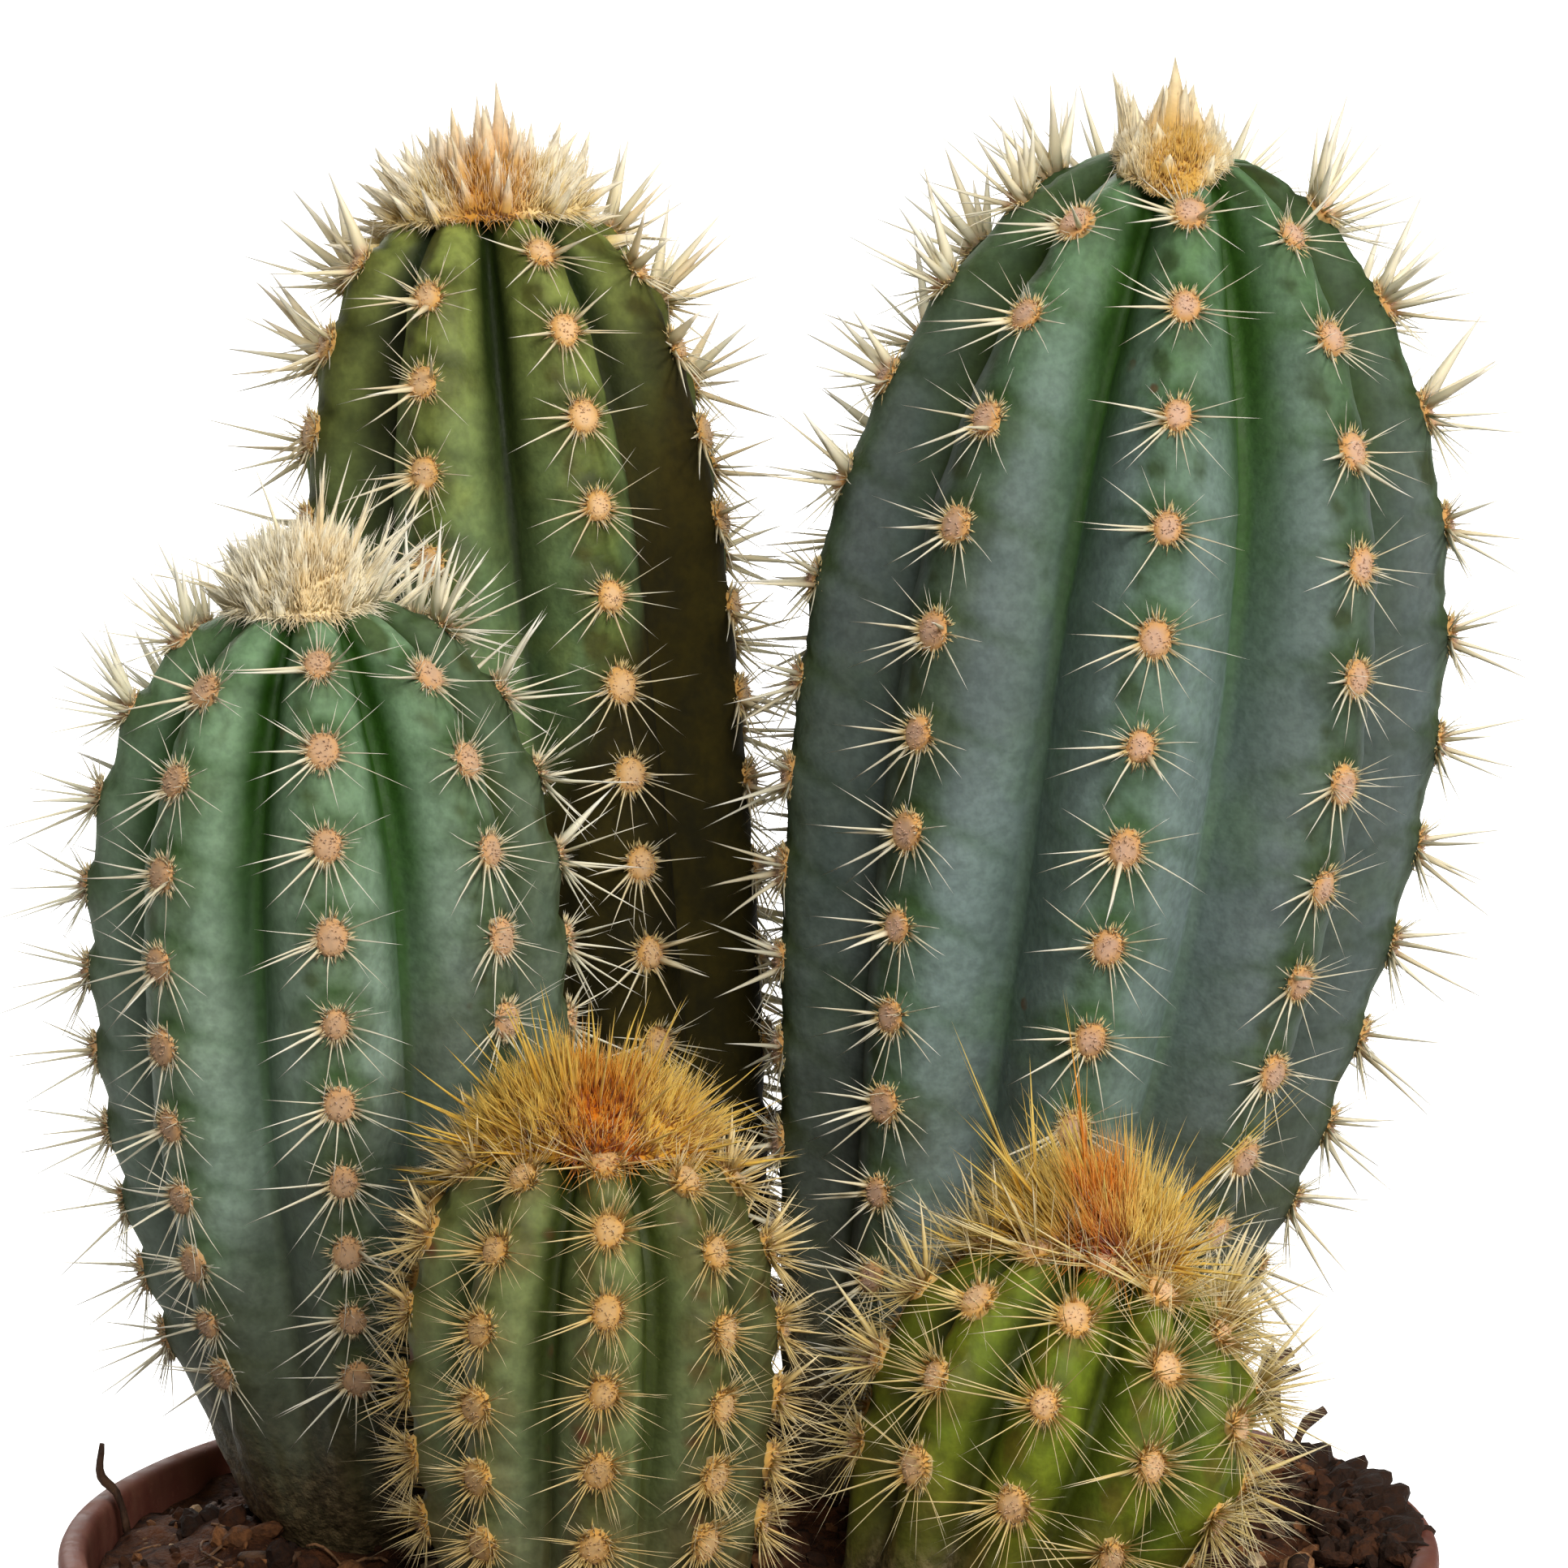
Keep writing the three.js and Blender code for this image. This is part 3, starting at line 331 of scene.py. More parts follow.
# ---- a stem's shape, as in the CAD source ----
class Stem:
    def __init__(self, name, sizes):
        self.name = name
        self.__dict__.update(sizes)
        foot, head = np.array([*self.foot, SOIL["level"]], float), np.array(self.head, float)
        self.controls = foot, (foot + head) / 2 + [2 * self.bow, 0, 0], head
        self.height = np.linalg.norm(head - foot)
        shares = 1 - start_slow(np.arange(601) / 600)
        steps = np.hypot(np.diff(shares) * self.height, np.diff(self.crest(shares)))
        self.shares, self.arcs = shares, np.concatenate([[0], np.cumsum(steps)])
        self.length = self.arcs[-1]
        self.level = np.mean(self.starts)
        self.rows = 0
        while self.cell_arc(self.rows + max(self.starts)) < self.length - self.bare:
            self.rows += 1
        self.find_areoles()

    def crest(self, share):
        share = np.asarray(share, float)
        low = np.sin(np.pi / 2 * np.clip(share / self.widest, 0, 1)) ** self.flare
        top = (1 - (self.seat / self.radius) ** self.dome) ** (1 / self.dome)
        up = np.clip((share - self.widest) / (1 - self.widest), 0, 1) * top
        high = self.radius * (1 - up**self.dome) ** (1 / self.dome)
        return np.where(share <= self.widest, self.foot_radius + (self.radius - self.foot_radius) * low, high)

    def share_at(self, arc):
        return np.interp(arc, self.arcs, self.shares)

    def frame(self, share):
        """Centre and axes of the sections at these shares: up, right and back."""
        s = np.clip(np.asarray(share, float), 0, 1)[..., None]
        a, b, c = self.controls
        centre = (1 - s) ** 2 * a + 2 * s * (1 - s) * b + s * s * c
        turn = smooth(s / LEVEL_SHARE)
        up = unit((1 - turn) * np.array([0, 0, 1.0]) + turn * unit((1 - s) * (b - a) + s * (c - b)))
        right = unit(np.array([1.0, 0, 0]) - up[..., :1] * up)
        return centre, up, right, np.cross(up, right)

    def rib_angle(self, share, rib):
        return np.radians(self.phase + self.twist * (1 - share)) + 2 * np.pi * rib / self.ribs

    def surface(self, share, across):
        depth = self.groove * (1 + 0.6 * smooth((share - 0.75) / 0.25)) * smooth(share / 0.3) ** 0.7
        return self.crest(share) * (1 - depth * (1 - np.cos(np.pi / 2 * np.abs(across))))

    def place(self, share, rib, across=0.0):
        centre, _, right, back = self.frame(share)
        angle = (self.rib_angle(share, rib) + across * np.pi / self.ribs)[..., None]
        r = self.surface(share, across)[..., None]
        return centre + right * r * np.sin(angle) - back * r * np.cos(angle)

    def cell_arc(self, cells):
        return self.cell * (cells - AREOLE_EASE * (1 - np.exp(-cells / AREOLE_EASE))) - self.ease * cells**2

    def areole_arc(self, j, rib):
        fade = 1 - np.clip((j + 0.5) / self.rows, 0, 1) ** 4
        return self.cell_arc(j + self.level + (np.array(self.starts)[rib] - self.level) * fade)

    def find_areoles(self):
        """Place and axes of each areole: side, rise and out."""
        j, rib = (g.ravel() for g in np.mgrid[0:self.rows, 0:self.ribs])
        arc = self.areole_arc(j, rib)
        at = lambda a, across=0.0: self.place(self.share_at(a), rib, across)
        self.centre = at(arc)
        self.rise = unit(at(arc - 0.5) - at(arc + 0.5))
        self.side = unit(at(arc, 0.1) - at(arc, -0.1))
        self.out = unit(np.cross(self.side, self.rise))
        self.arc, self.rib, self.row = arc, rib, j

    def foot_width(self, part):
        """Radius of the foot below the soil, at this part of its depth."""
        return self.foot_radius * (1 + (FOOT_TAPER - 1) * part)

    def clearance(self, p):
        """Height of points above the stem's skin, measured square to the axis."""
        low, high = np.zeros(len(p)), np.ones(len(p))
        for _ in range(10):
            mid = (low + high) / 2
            centre, up, _, _ = self.frame(mid)
            beyond = np.sum((p - centre) * up, -1) > 0
            low, high = np.where(beyond, mid, low), np.where(beyond, high, mid)
        share = (low + high) / 2
        centre, up, right, back = self.frame(share)
        off = p - centre
        above = np.where(share > 0.998, np.sum(off * up, -1), 0)
        x, y = np.sum(off * right, -1), np.sum(off * back, -1)
        turned = (np.arctan2(x, -y) - self.rib_angle(share, 0)) / (2 * np.pi / self.ribs)
        across = np.abs(turned - np.round(turned)) * 2
        return np.maximum(np.hypot(x, y) - self.surface(share, across), above - self.crown[0])


stems = {name: Stem(name, sizes) for name, sizes in STEMS.items()}


def is_clear(own, roots, tips, bends, room):
    """Which spines miss every stem, the soil and the pot's rim."""
    good = np.ones(len(roots), bool)
    for part in (0.4, 0.6, 0.8, 1):
        p = roots + (tips - roots) * part + bends * part**2
        away = np.hypot(p[:, 0], p[:, 1])
        good &= (away > POT["rim"]) | (p[:, 2] > soil_height(p[:, 0], p[:, 1]) + BED_ROOM)
        good &= (away < INNER - BED_ROOM) | (p[:, 2] > POT["height"] + BED_ROOM)
        for stem in stems.values():
            good &= stem.clearance(p) > (OWN_ROOM if stem is own else room)
    return good


def settle(own, roots, aims, lifts, lengths, bends, room=0.6):
    """Raises and shortens the spines that would touch something, and drops the last few."""
    aims, lengths = aims.copy(), lengths.copy()
    open_ = np.arange(len(roots))
    for _ in range(9):
        tips = roots[open_] + aims[open_] * lengths[open_, None]
        good = is_clear(own, roots[open_], tips, bends[open_] * lengths[open_, None], room)
        open_ = open_[~good]
        if not len(open_):
            break
        aims[open_] = unit(aims[open_] + 0.14 * lifts[open_])
        lengths[open_] *= 0.92
    keep = np.ones(len(roots), bool)
    keep[open_] = False
    return aims, lengths, keep


def add_spines(batch, roots, aims, lengths, radii, bends, sides=4, rings=3, ripe=1.0, **values):
    """Thin curved spines that taper to a point. The value along goes from 0 at the root to ripe."""
    n = len(roots)
    flat = np.abs(aims[:, 2:]) < 0.9
    u = unit(np.cross(aims, np.where(flat, [[0, 0, 1.0]], [[1.0, 0, 0]])))
    v = np.cross(aims, u)
    t = np.arange(rings) / rings
    reach = lengths[:, None, None]
    path = roots[:, None] + aims[:, None] * reach * t[:, None] + bends[:, None] * reach * t[:, None] ** 2
    turn = 2 * np.pi * np.arange(sides) / sides
    around = u[:, None, None] * np.cos(turn)[:, None] + v[:, None, None] * np.sin(turn)[:, None]
    width = (radii[:, None] * (1 - t))[:, :, None, None]
    body = (path[:, :, None] + around * width).reshape(n, -1, 3)
    tip = (roots + (aims + bends) * lengths[:, None])[:, None]
    points = np.concatenate([body, tip], 1)
    quads = [tube_faces(rings, sides)]
    ends = [fan_faces(rings * sides, (rings - 1) * sides + np.arange(sides))]
    if sides == 4:
        quads.append(np.array([[3, 2, 1, 0]]))
    else:
        ends.append(np.array([[0, i + 1, i] for i in range(1, sides - 1)]))
    spread = {key: np.broadcast_to(value, n)[:, None] for key, value in values.items()}
    batch.add_copies(points, np.concatenate(quads), np.concatenate(ends),
                     along=ripe * np.append(np.repeat(t, sides), 1), **spread)


# ---- materials ----
def colour(text):
    """A linear colour from rrggbb."""
    parts = [int(text[i:i + 2], 16) / 255 for i in (0, 2, 4)]
    return (*[c / 12.92 if c <= 0.04045 else ((c + 0.055) / 1.055) ** 2.4 for c in parts], 1)


class Look:
    """One procedural material, made node by node."""

    def __init__(self, name, roughness=0.5, **settings):
        self.material = bpy.data.materials.new(name)
        self.material.use_nodes = True
        self.tree = self.material.node_tree
        self.shader = self.tree.nodes["Principled BSDF"]
        self.shader.inputs["Roughness"].default_value = roughness
        for key, value in settings.items():
            self.shader.inputs[key.replace("_", " ")].default_value = value
        self.where = self.node("TexCoord").outputs["Object"]

    def node(self, kind, **inputs):
        made = self.tree.nodes.new(kind if kind.startswith("Shader") else "ShaderNode" + kind)
        for key, value in inputs.items():
            self.put(made.inputs[key.replace("_", " ")], value)
        return made

    def put(self, socket, value):
        if isinstance(value, bpy.types.NodeSocket):
            self.tree.links.new(value, socket)
        else:
            socket.default_value = value

    def value(self, name):
        made = self.node("Attribute")
        made.attribute_name = name
        return made.outputs["Fac"]

    def noise(self, size, detail=3.0, rough=0.55, stretch=None):
        """Noise with features of about size mm, from about 0.3 to 0.7."""
        where = self.where
        if stretch:
            where = self.node("Mapping", Vector=where, Scale=stretch).outputs[0]
        return self.node("TexNoise", Vector=where, Scale=1000 / size, Detail=detail,
                         Roughness=rough).outputs["Fac"]

    def cells(self, size):
        return self.node("TexVoronoi", Vector=self.where, Scale=1000 / size).outputs["Distance"]

    def math(self, operation, a, b=0.0, clamp=False):
        made = self.node("Math")
        made.operation, made.use_clamp = operation, clamp
        self.put(made.inputs[0], a)
        self.put(made.inputs[1], b)
        return made.outputs[0]

    def band(self, value, low, high, to_low=0.0, to_high=1.0):
        """A value eased from one range to another."""
        made = self.node("MapRange", Value=value)
        made.interpolation_type = "SMOOTHSTEP"
        for i, number in enumerate((low, high, to_low, to_high)):
            made.inputs[i + 1].default_value = number
        return made.outputs[0]

    def times(self, *values):
        total = values[0]
        for value in values[1:]:
            total = self.math("MULTIPLY", total, value)
        return total

    def mix(self, share, a, b, mode="MIX"):
        made = self.node("Mix")
        made.data_type, made.blend_type = "RGBA", mode
        self.put(made.inputs[0], share)
        self.put(made.inputs[6], colour(a) if isinstance(a, str) else a)
        self.put(made.inputs[7], colour(b) if isinstance(b, str) else b)
        return made.outputs[2]

    def over(self, base, tone, value, low, high, most=1.0):
        """The base with a tone laid over it, more of it as the value goes from low to high."""
        return self.mix(self.band(value, low, high, 0.0, most), base, tone)

    def mottle(self, base, share, value, low, high, dark):
        """The base with darker spots, where the value is low."""
        return self.mix(share, base, self.mix(self.band(value, low, high), dark, "ffffff"), "MULTIPLY")

    def stray(self, value, wander, much):
        """The value, moved to and fro by so much of the wander."""
        return self.math("ADD", value, self.math("MULTIPLY", wander, much))

    def bump(self, height, strength, distance, normal=None):
        made = self.node("Bump", Height=height, Strength=strength, Distance=distance * MM)
        if normal:
            self.put(made.inputs["Normal"], normal)
        return made.outputs[0]

    def finish(self, base, roughness=None, normal=None):
        self.put(self.shader.inputs["Base Color"], base)
        if roughness is not None:
            self.put(self.shader.inputs["Roughness"], roughness)
        if normal is not None:
            self.put(self.shader.inputs["Normal"], normal)
        return self.material


# Skin: deep and light green, waxy bloom, fresh green near the top, groove green (also laid on as
# painted shade in the grooves and notches), rubbed patches (also painted shade beside the crest), bloom's
# strength, how dark the painted shade on the left side of a valley is.
SKINS = each(
    ("4e602c", "708242", "6c8a68", "9ea854", "1f2c06", "464412", 0.55, 0.12),
    ("506c54", "6e8876", "88999e", "628852", "2f5218", "2e4216", 0.85, 0.5),
    ("647e60", "869e82", "a0b4ae", "749a6e", "24480c", "3e4e1c", 0.6, 0.15),
    ("687848", "8a9660", "8a9a82", "747e3e", "343e0e", "5c461a", 0.5, 0.4),
    ("5e6512", "8a921e", "7e8a34", "708a20", "3e4808", "6e621a", 0.25, 0.5))


def skin_look(name):
    deep, light, bloom, fresh, groove, rubbed_and_shade, waxy, valley_shade_strength = SKINS[name]
    look = Look("skin_" + name, Subsurface_Weight=0.06, Subsurface_Scale=0.004,
                Subsurface_Radius=(0.5, 1.0, 0.25), Specular_IOR_Level=0.2)
    across, arc, spot, share = (look.value(key) for key in ("across", "arc", "spot", "share"))
    broad = look.noise(16, 2, 0.5, (1, 1, 0.4))
    patch = look.noise(5.5, 4, 0.6, (1, 1, 0.6))
    fine = look.noise(0.9, 2, 0.6)
    base = look.mix(look.band(patch, 0.32, 0.7), deep, light)
    waxed = look.times(look.band(across, 0.08, 0.4), look.band(broad, 0.3, 0.7, 0.4, 1.0),
                       look.band(arc, 5.0, 38.0, 0.2, 1.0), waxy)
    base = look.mix(waxed, base, bloom)
    # fresher green towards the top and in soft patches
    lively = look.math("ADD", look.band(arc, 42.0, 6.0, 0.0, 0.75),
                       look.band(look.noise(9, 3, 0.6), 0.5, 0.72, 0.0, 0.4))
    base = look.mix(look.math("MULTIPLY", lively, 0.8, True), base, fresh)
    # rubbed, darker green blotches round the areoles; beside the crest between them the same colour is partly
    # rubbed skin and partly painted shade, mostly on the crest's left side
    wander = look.math("SUBTRACT", patch, 0.5)
    blotch = look.stray(spot, wander, 9.0)
    base = look.over(base, rubbed_and_shade, blotch, 4.2, 1.4, 0.5)
    shaded_gap = look.stray(look.value("shaded_gap"), wander, 1.6)
    base = look.over(base, rubbed_and_shade, shaded_gap, 0.22, 0.7, 0.8)
    # notch above each areole: groove green, partly the skin's colour and partly painted shade in the crease
    base = look.mix(look.times(look.value("notch"), 0.75), base, groove)
    # painted shade: valleys are darker, most on the left side of each rib; the grooves in them are laid with
    # the groove green, wide towards the top and a thin line lower down, partly the skin's own colour and
    # partly painted shade in the groove
    line = look.stray(across, wander, 0.12)
    valley_shade = look.times(look.band(line, 0.1, 0.8), look.band(look.value("left"), 0.0, 1.0, 0.15, 0.85))
    base = look.mix(look.times(valley_shade, valley_shade_strength), base, "5a6a56", "MULTIPLY")
    furrow = look.times(look.band(line, 0.5, 0.86), look.band(arc, 60.0, 14.0, 0.06, 1.0))
    base = look.mix(furrow, base, groove)
    thread = look.times(look.band(line, 0.88, 0.97, 0.0, 0.85), look.band(arc, 70.0, 26.0, 0.3, 1.0))
    base = look.mix(thread, base, groove)
    # a few brown specks and old scars, more and rustier on the stem at the front in the middle
    apart, wide, rust = (4.5, 0.26, "6a2c18") if name == "front_mid" else (9.0, 0.08, "5a3a1e")
    scarred = look.times(look.band(look.cells(apart), wide, 0.05), look.band(look.noise(9, 2), 0.48, 0.6))
    base = look.mix(look.times(scarred, 0.75), base, rust)
    # browner and darker towards the bottom, and corky, brown-grey skin close to the soil
    cork = look.stray(share, wander, 0.25)
    corky = look.band(cork, 0.18, 0.02)
    base = look.mix(look.times(look.band(cork, 0.42, 0.1), 0.45), base, "5e4c2c")
    base = look.mix(corky, base, look.mix(look.band(fine, 0.4, 0.6), "5f4f38", "8a7656"))
    # painted shade: skin turned from the light, low down between the stems, darkened to a brown olive
    base = look.mix(look.value("shade"), base, look.mix(look.band(patch, 0.35, 0.65), "201c02", "38300a"))
    base = look.mottle(base, 0.3, fine, 0.3, 0.7, "828282")
    rough = look.math("ADD", look.band(patch, 0.35, 0.65, 0.52, 0.66), look.times(look.value("shade"), 0.3))
    ripple = look.bump(fine, 0.25, 0.3)
    pores = look.bump(look.noise(2.4, 3, 0.6), 0.3, 0.5, ripple)
    rugged = look.bump(look.times(corky, look.noise(1.3, 4, 0.7)), 0.6, 1.2, pores)
    return look.finish(base, rough, rugged)


def pad_look(name, rim, middle, fringe):
    look = Look("felt_" + name, 0.9, Sheen_Weight=0.3, Sheen_Roughness=0.5, Specular_IOR_Level=0.1,
                Subsurface_Weight=0.15, Subsurface_Scale=0.001, Subsurface_Radius=(1, 0.8, 0.5))
    edge, tint = look.value("edge"), look.value("tint")
    tone = look.noise(0.7, 3, 0.6)
    wander = look.stray(edge, look.math("SUBTRACT", tone, 0.5), 0.5)
    base = look.mix(look.band(wander, 0.3, 1.2), middle, rim)
    base = look.mix(look.times(look.band(tone, 0.35, 0.7), 0.2), base, rim)
    base = look.over(base, fringe, edge, 1.05, 1.35)
    base = look.mix(look.times(tint, 0.25), base, "a88656")
    base = look.mottle(base, 0.2, tone, 0.35, 0.65, "ccc2b0")
    return look.finish(base, None, look.bump(look.noise(0.35, 2), 0.25, 0.1))


def spine_look(name, root, body, tip):
    look = Look("spine_" + name, 0.5, Subsurface_Weight=0.1, Subsurface_Scale=0.0006,
                Subsurface_Radius=(1, 0.8, 0.5), Specular_IOR_Level=0.3)
    along, tint = look.value("along"), look.value("tint")
    base = look.mix(look.band(along, 0.0, 0.16), look.mix(look.value("stout"), root, "e6c4a0"), body)
    base = look.over(base, tip, along, 0.3, 0.9)
    base = look.mix(look.times(tint, 0.35), base, root)
    streak = look.noise(0.5, 2, 0.5)
    return look.finish(base, look.band(streak, 0.35, 0.65, 0.36, 0.52), look.bump(streak, 0.2, 0.05))


def wool_look(name, core, body, tip):
    look = Look("wool_" + name, 0.6, Sheen_Weight=0.2, Sheen_Roughness=0.4, Subsurface_Weight=0.1,
                Subsurface_Scale=0.001, Subsurface_Radius=(1, 0.75, 0.4), Specular_IOR_Level=0.2)
    along, inner, tint = look.value("along"), look.value("core"), look.value("tint")
    base = look.mix(look.band(along, 0.1, 0.65), body, tip)
    base = look.mix(look.times(tint, 0.35), base, body)
    heart = look.times(look.band(inner, 0.15, 0.8), look.band(along, 1.1, 0.2))
    base = look.mix(heart, base, core)
    streak = look.noise(0.8, 3, 0.6)
    base = look.mottle(base, 0.2, streak, 0.35, 0.65, "a89880")
    return look.finish(base, look.band(streak, 0.3, 0.7, 0.6, 0.8), look.bump(streak, 0.25, 0.1))


# ---- the stems ----
def make_skin(stem, seed):
    per = PER_RIB[stem.name]
    arc = np.linspace(0, stem.length, int(stem.length / SKIN_STEP) + 1)
    share = stem.share_at(arc)[:, None]
    rib = np.repeat(np.arange(stem.ribs), per)
    across = np.tile(np.linspace(-1, 1, per + 1)[:-1], stem.ribs)[None]
    points = stem.place(share, rib[None], across)
    arcs = stem.arc.reshape(stem.rows, stem.ribs)
    apart = arc[:, None, None] - arcs[None]
    nearest = np.argmin(np.abs(apart), 1)
    below = np.take_along_axis(apart, nearest[:, None], 1)[:, 0][:, rib]
    sideways = np.abs(across) * np.pi / stem.ribs * stem.crest(share)
    spot = np.hypot(below, sideways)
    down = np.gradient(points, axis=0)
    normal = unit(np.cross(down, np.roll(points, -1, 1) - np.roll(points, 1, 1)))
    on_crest = np.cos(np.pi / 2 * across) ** 2
    relief = 0.75 * on_crest * np.exp(-((below / (0.3 * stem.cell)) ** 2))
    arms = below + 2.6 - 0.45 * sideways
    notch = (1 - np.abs(across)) ** 0.8 * np.exp(-((arms / 0.75) ** 2))
    # beside the crest between areoles, mostly on its left: partly painted shade, partly rubbed skin
    leftward = -sideways * np.sign(across)
    beside = np.exp(-(((leftward - 1.7) / 1.3) ** 2)) + 0.35 * np.exp(-(((leftward + 2.4) / 0.9) ** 2))
    shaded_gap = np.clip(np.abs(below) / (0.5 * stem.cell), 0, 1) ** 2 * beside
    # painted shade: which way the skin turns, and a weight that fades out towards the back
    turn = stem.rib_angle(share, rib[None]) + across * np.pi / stem.ribs
    rightward, frontward = np.sin(turn), smooth((np.cos(turn) + 0.5) / 0.5)
    shade = np.zeros(points.shape[:2])
    for side, arc_steps, least, dark in SHADE[stem.name]:
        turned = side * rightward - np.interp(arc, arc_steps, least)[:, None]
        shade = np.maximum(shade, dark * frontward * smooth(turned / 0.35))
    # painted shade on the left side of each rib, for the darker left side of the valleys
    left = smooth((0.1 - across) / 0.6) * frontward
    relief -= 0.5 * notch
    relief += 0.16 * noise(points, 7, seed) + 0.06 * noise(points, 2, seed + 1)
    relief -= 0.45 * smooth((share - 0.4) / 0.4) * np.exp(-(((1 - np.abs(across)) / 0.09) ** 2))
    cork = smooth((0.2 - share) / 0.16)
    relief += cork * (0.28 * noise(points, (2.6, 2.6, 1.2), seed + 2) + 0.12 * noise(points, 0.9, seed + 3))
    relief *= smooth(arc / 2)[:, None]
    points = points + normal * relief[..., None]

    cols = stem.ribs * per
    foot = stem.controls[0]
    rings = [points.reshape(-1, 3)]
    turn = stem.rib_angle(0.0, rib) + across[0] * np.pi / stem.ribs
    for part in FOOT_STEPS:
        r = stem.foot_width(part)
        ring = np.stack([r * np.sin(turn), -r * np.cos(turn), np.full(cols, -FOOT_DEPTH * part)], -1)
        rings.append(foot + ring)
    whole = np.concatenate([*rings, [stem.frame(1.0)[0]], [foot - [0, 0, FOOT_DEPTH]]])
    # each value over the skin, and what it is on the foot
    fields = dict(across=(np.abs(across), 0), arc=(arc[:, None], stem.length), spot=(spot, 9),
                  share=(share, 0), notch=(notch, 0), shaded_gap=(shaded_gap, 0), shade=(shade, 0), left=(left, 0))
    values = {key: np.concatenate([np.broadcast_to(field, points.shape[:2]).ravel(),
                                   np.full(len(FOOT_STEPS) * cols, fill), [0, fill]])
              for key, (field, fill) in fields.items()}
    batch = Batch(*fields)
    batch.add(whole, *closed_faces(len(arc) + len(FOOT_STEPS), cols), **values)
    batch.make("skin_" + stem.name, skin_look(stem.name), SLOTS[stem.name][0], "stem_" + stem.name)


def make_pads(stem, seed):
    draw = np.random.default_rng(seed)
    n = len(stem.arc)
    size = PAD[stem.name] * draw.uniform(0.86, 1.1, n)
    out_to, height = np.array(PAD_RINGS).T
    height = PAD_LIFT + PAD_RISE * height
    sides = 14
    turn = 2 * np.pi * np.arange(sides) / sides
    flat = stem.side[:, None] * PAD_WIDE * np.sin(turn)[:, None]
    flat = flat - stem.rise[:, None] * PAD_TALL * np.cos(turn)[:, None]
    reach = (size[:, None, None] * out_to[:, None])[..., None]
    rings = stem.centre[:, None, None] + flat[:, None] * reach
    rings = rings + stem.out[:, None, None] * height[:, None, None]
    rings = rings + 0.1 * noise(rings, 0.6, seed)[..., None] * stem.out[:, None, None]
    rings = rings + 0.16 * noise(rings, 0.8, seed + 3)[..., None] * flat[:, None]
    apex = stem.centre + stem.out * (PAD_LIFT + PAD_RISE * draw.uniform(0.95, 1.1, n))[:, None]
    under = stem.centre - stem.out * 0.4
    points = np.concatenate([rings.reshape(n, -1, 3), apex[:, None], under[:, None]], 1)
    batch = Batch("edge", "tint")
    tint = np.clip(0.25 * stem.row / stem.rows + draw.uniform(0, 0.5, n), 0, 1)
    batch.add_copies(points, *closed_faces(len(out_to), sides),
                     edge=np.append(np.repeat(out_to, sides), [0, 1]), tint=tint[:, None])
    # felt over each pad, and a fringe of fine hairs that lies out over the skin
    for many, near, far, lie, low, high in PAD_HAIRS:
        root_to = np.sqrt(draw.uniform(near, far, (n, many)))
        turn = draw.uniform(0, 2 * np.pi, (n, many))
        flat = (stem.side[:, None] * PAD_WIDE * np.cos(turn)[..., None]
                + stem.rise[:, None] * PAD_TALL * np.sin(turn)[..., None])
        lift = PAD_LIFT + PAD_RISE * (0.9 - 0.8 * root_to**3)
        roots = stem.centre[:, None] + flat * (size[:, None] * root_to)[..., None]
        roots = roots + stem.out[:, None] * lift[..., None]
        aims = stem.out[:, None] * 0.7 + flat * (lie * root_to**2)[..., None]
        aims = unit(aims + draw.normal(0, 0.28, (n, many, 3)))
        total = n * many
        add_spines(batch, roots.reshape(-1, 3), aims.reshape(-1, 3), draw.uniform(low, high, total),
                   draw.uniform(0.07, 0.12, total), draw.normal(0, 0.14, (total, 3)), sides=3, rings=1,
                   edge=(root_to + 0.4 * (lie > 1)).ravel(), tint=np.repeat(tint, many))
    name = stem.name
    batch.make("areoles_" + name, pad_look(name, *PADS[name]), SLOTS[name][1], "stem_" + name)


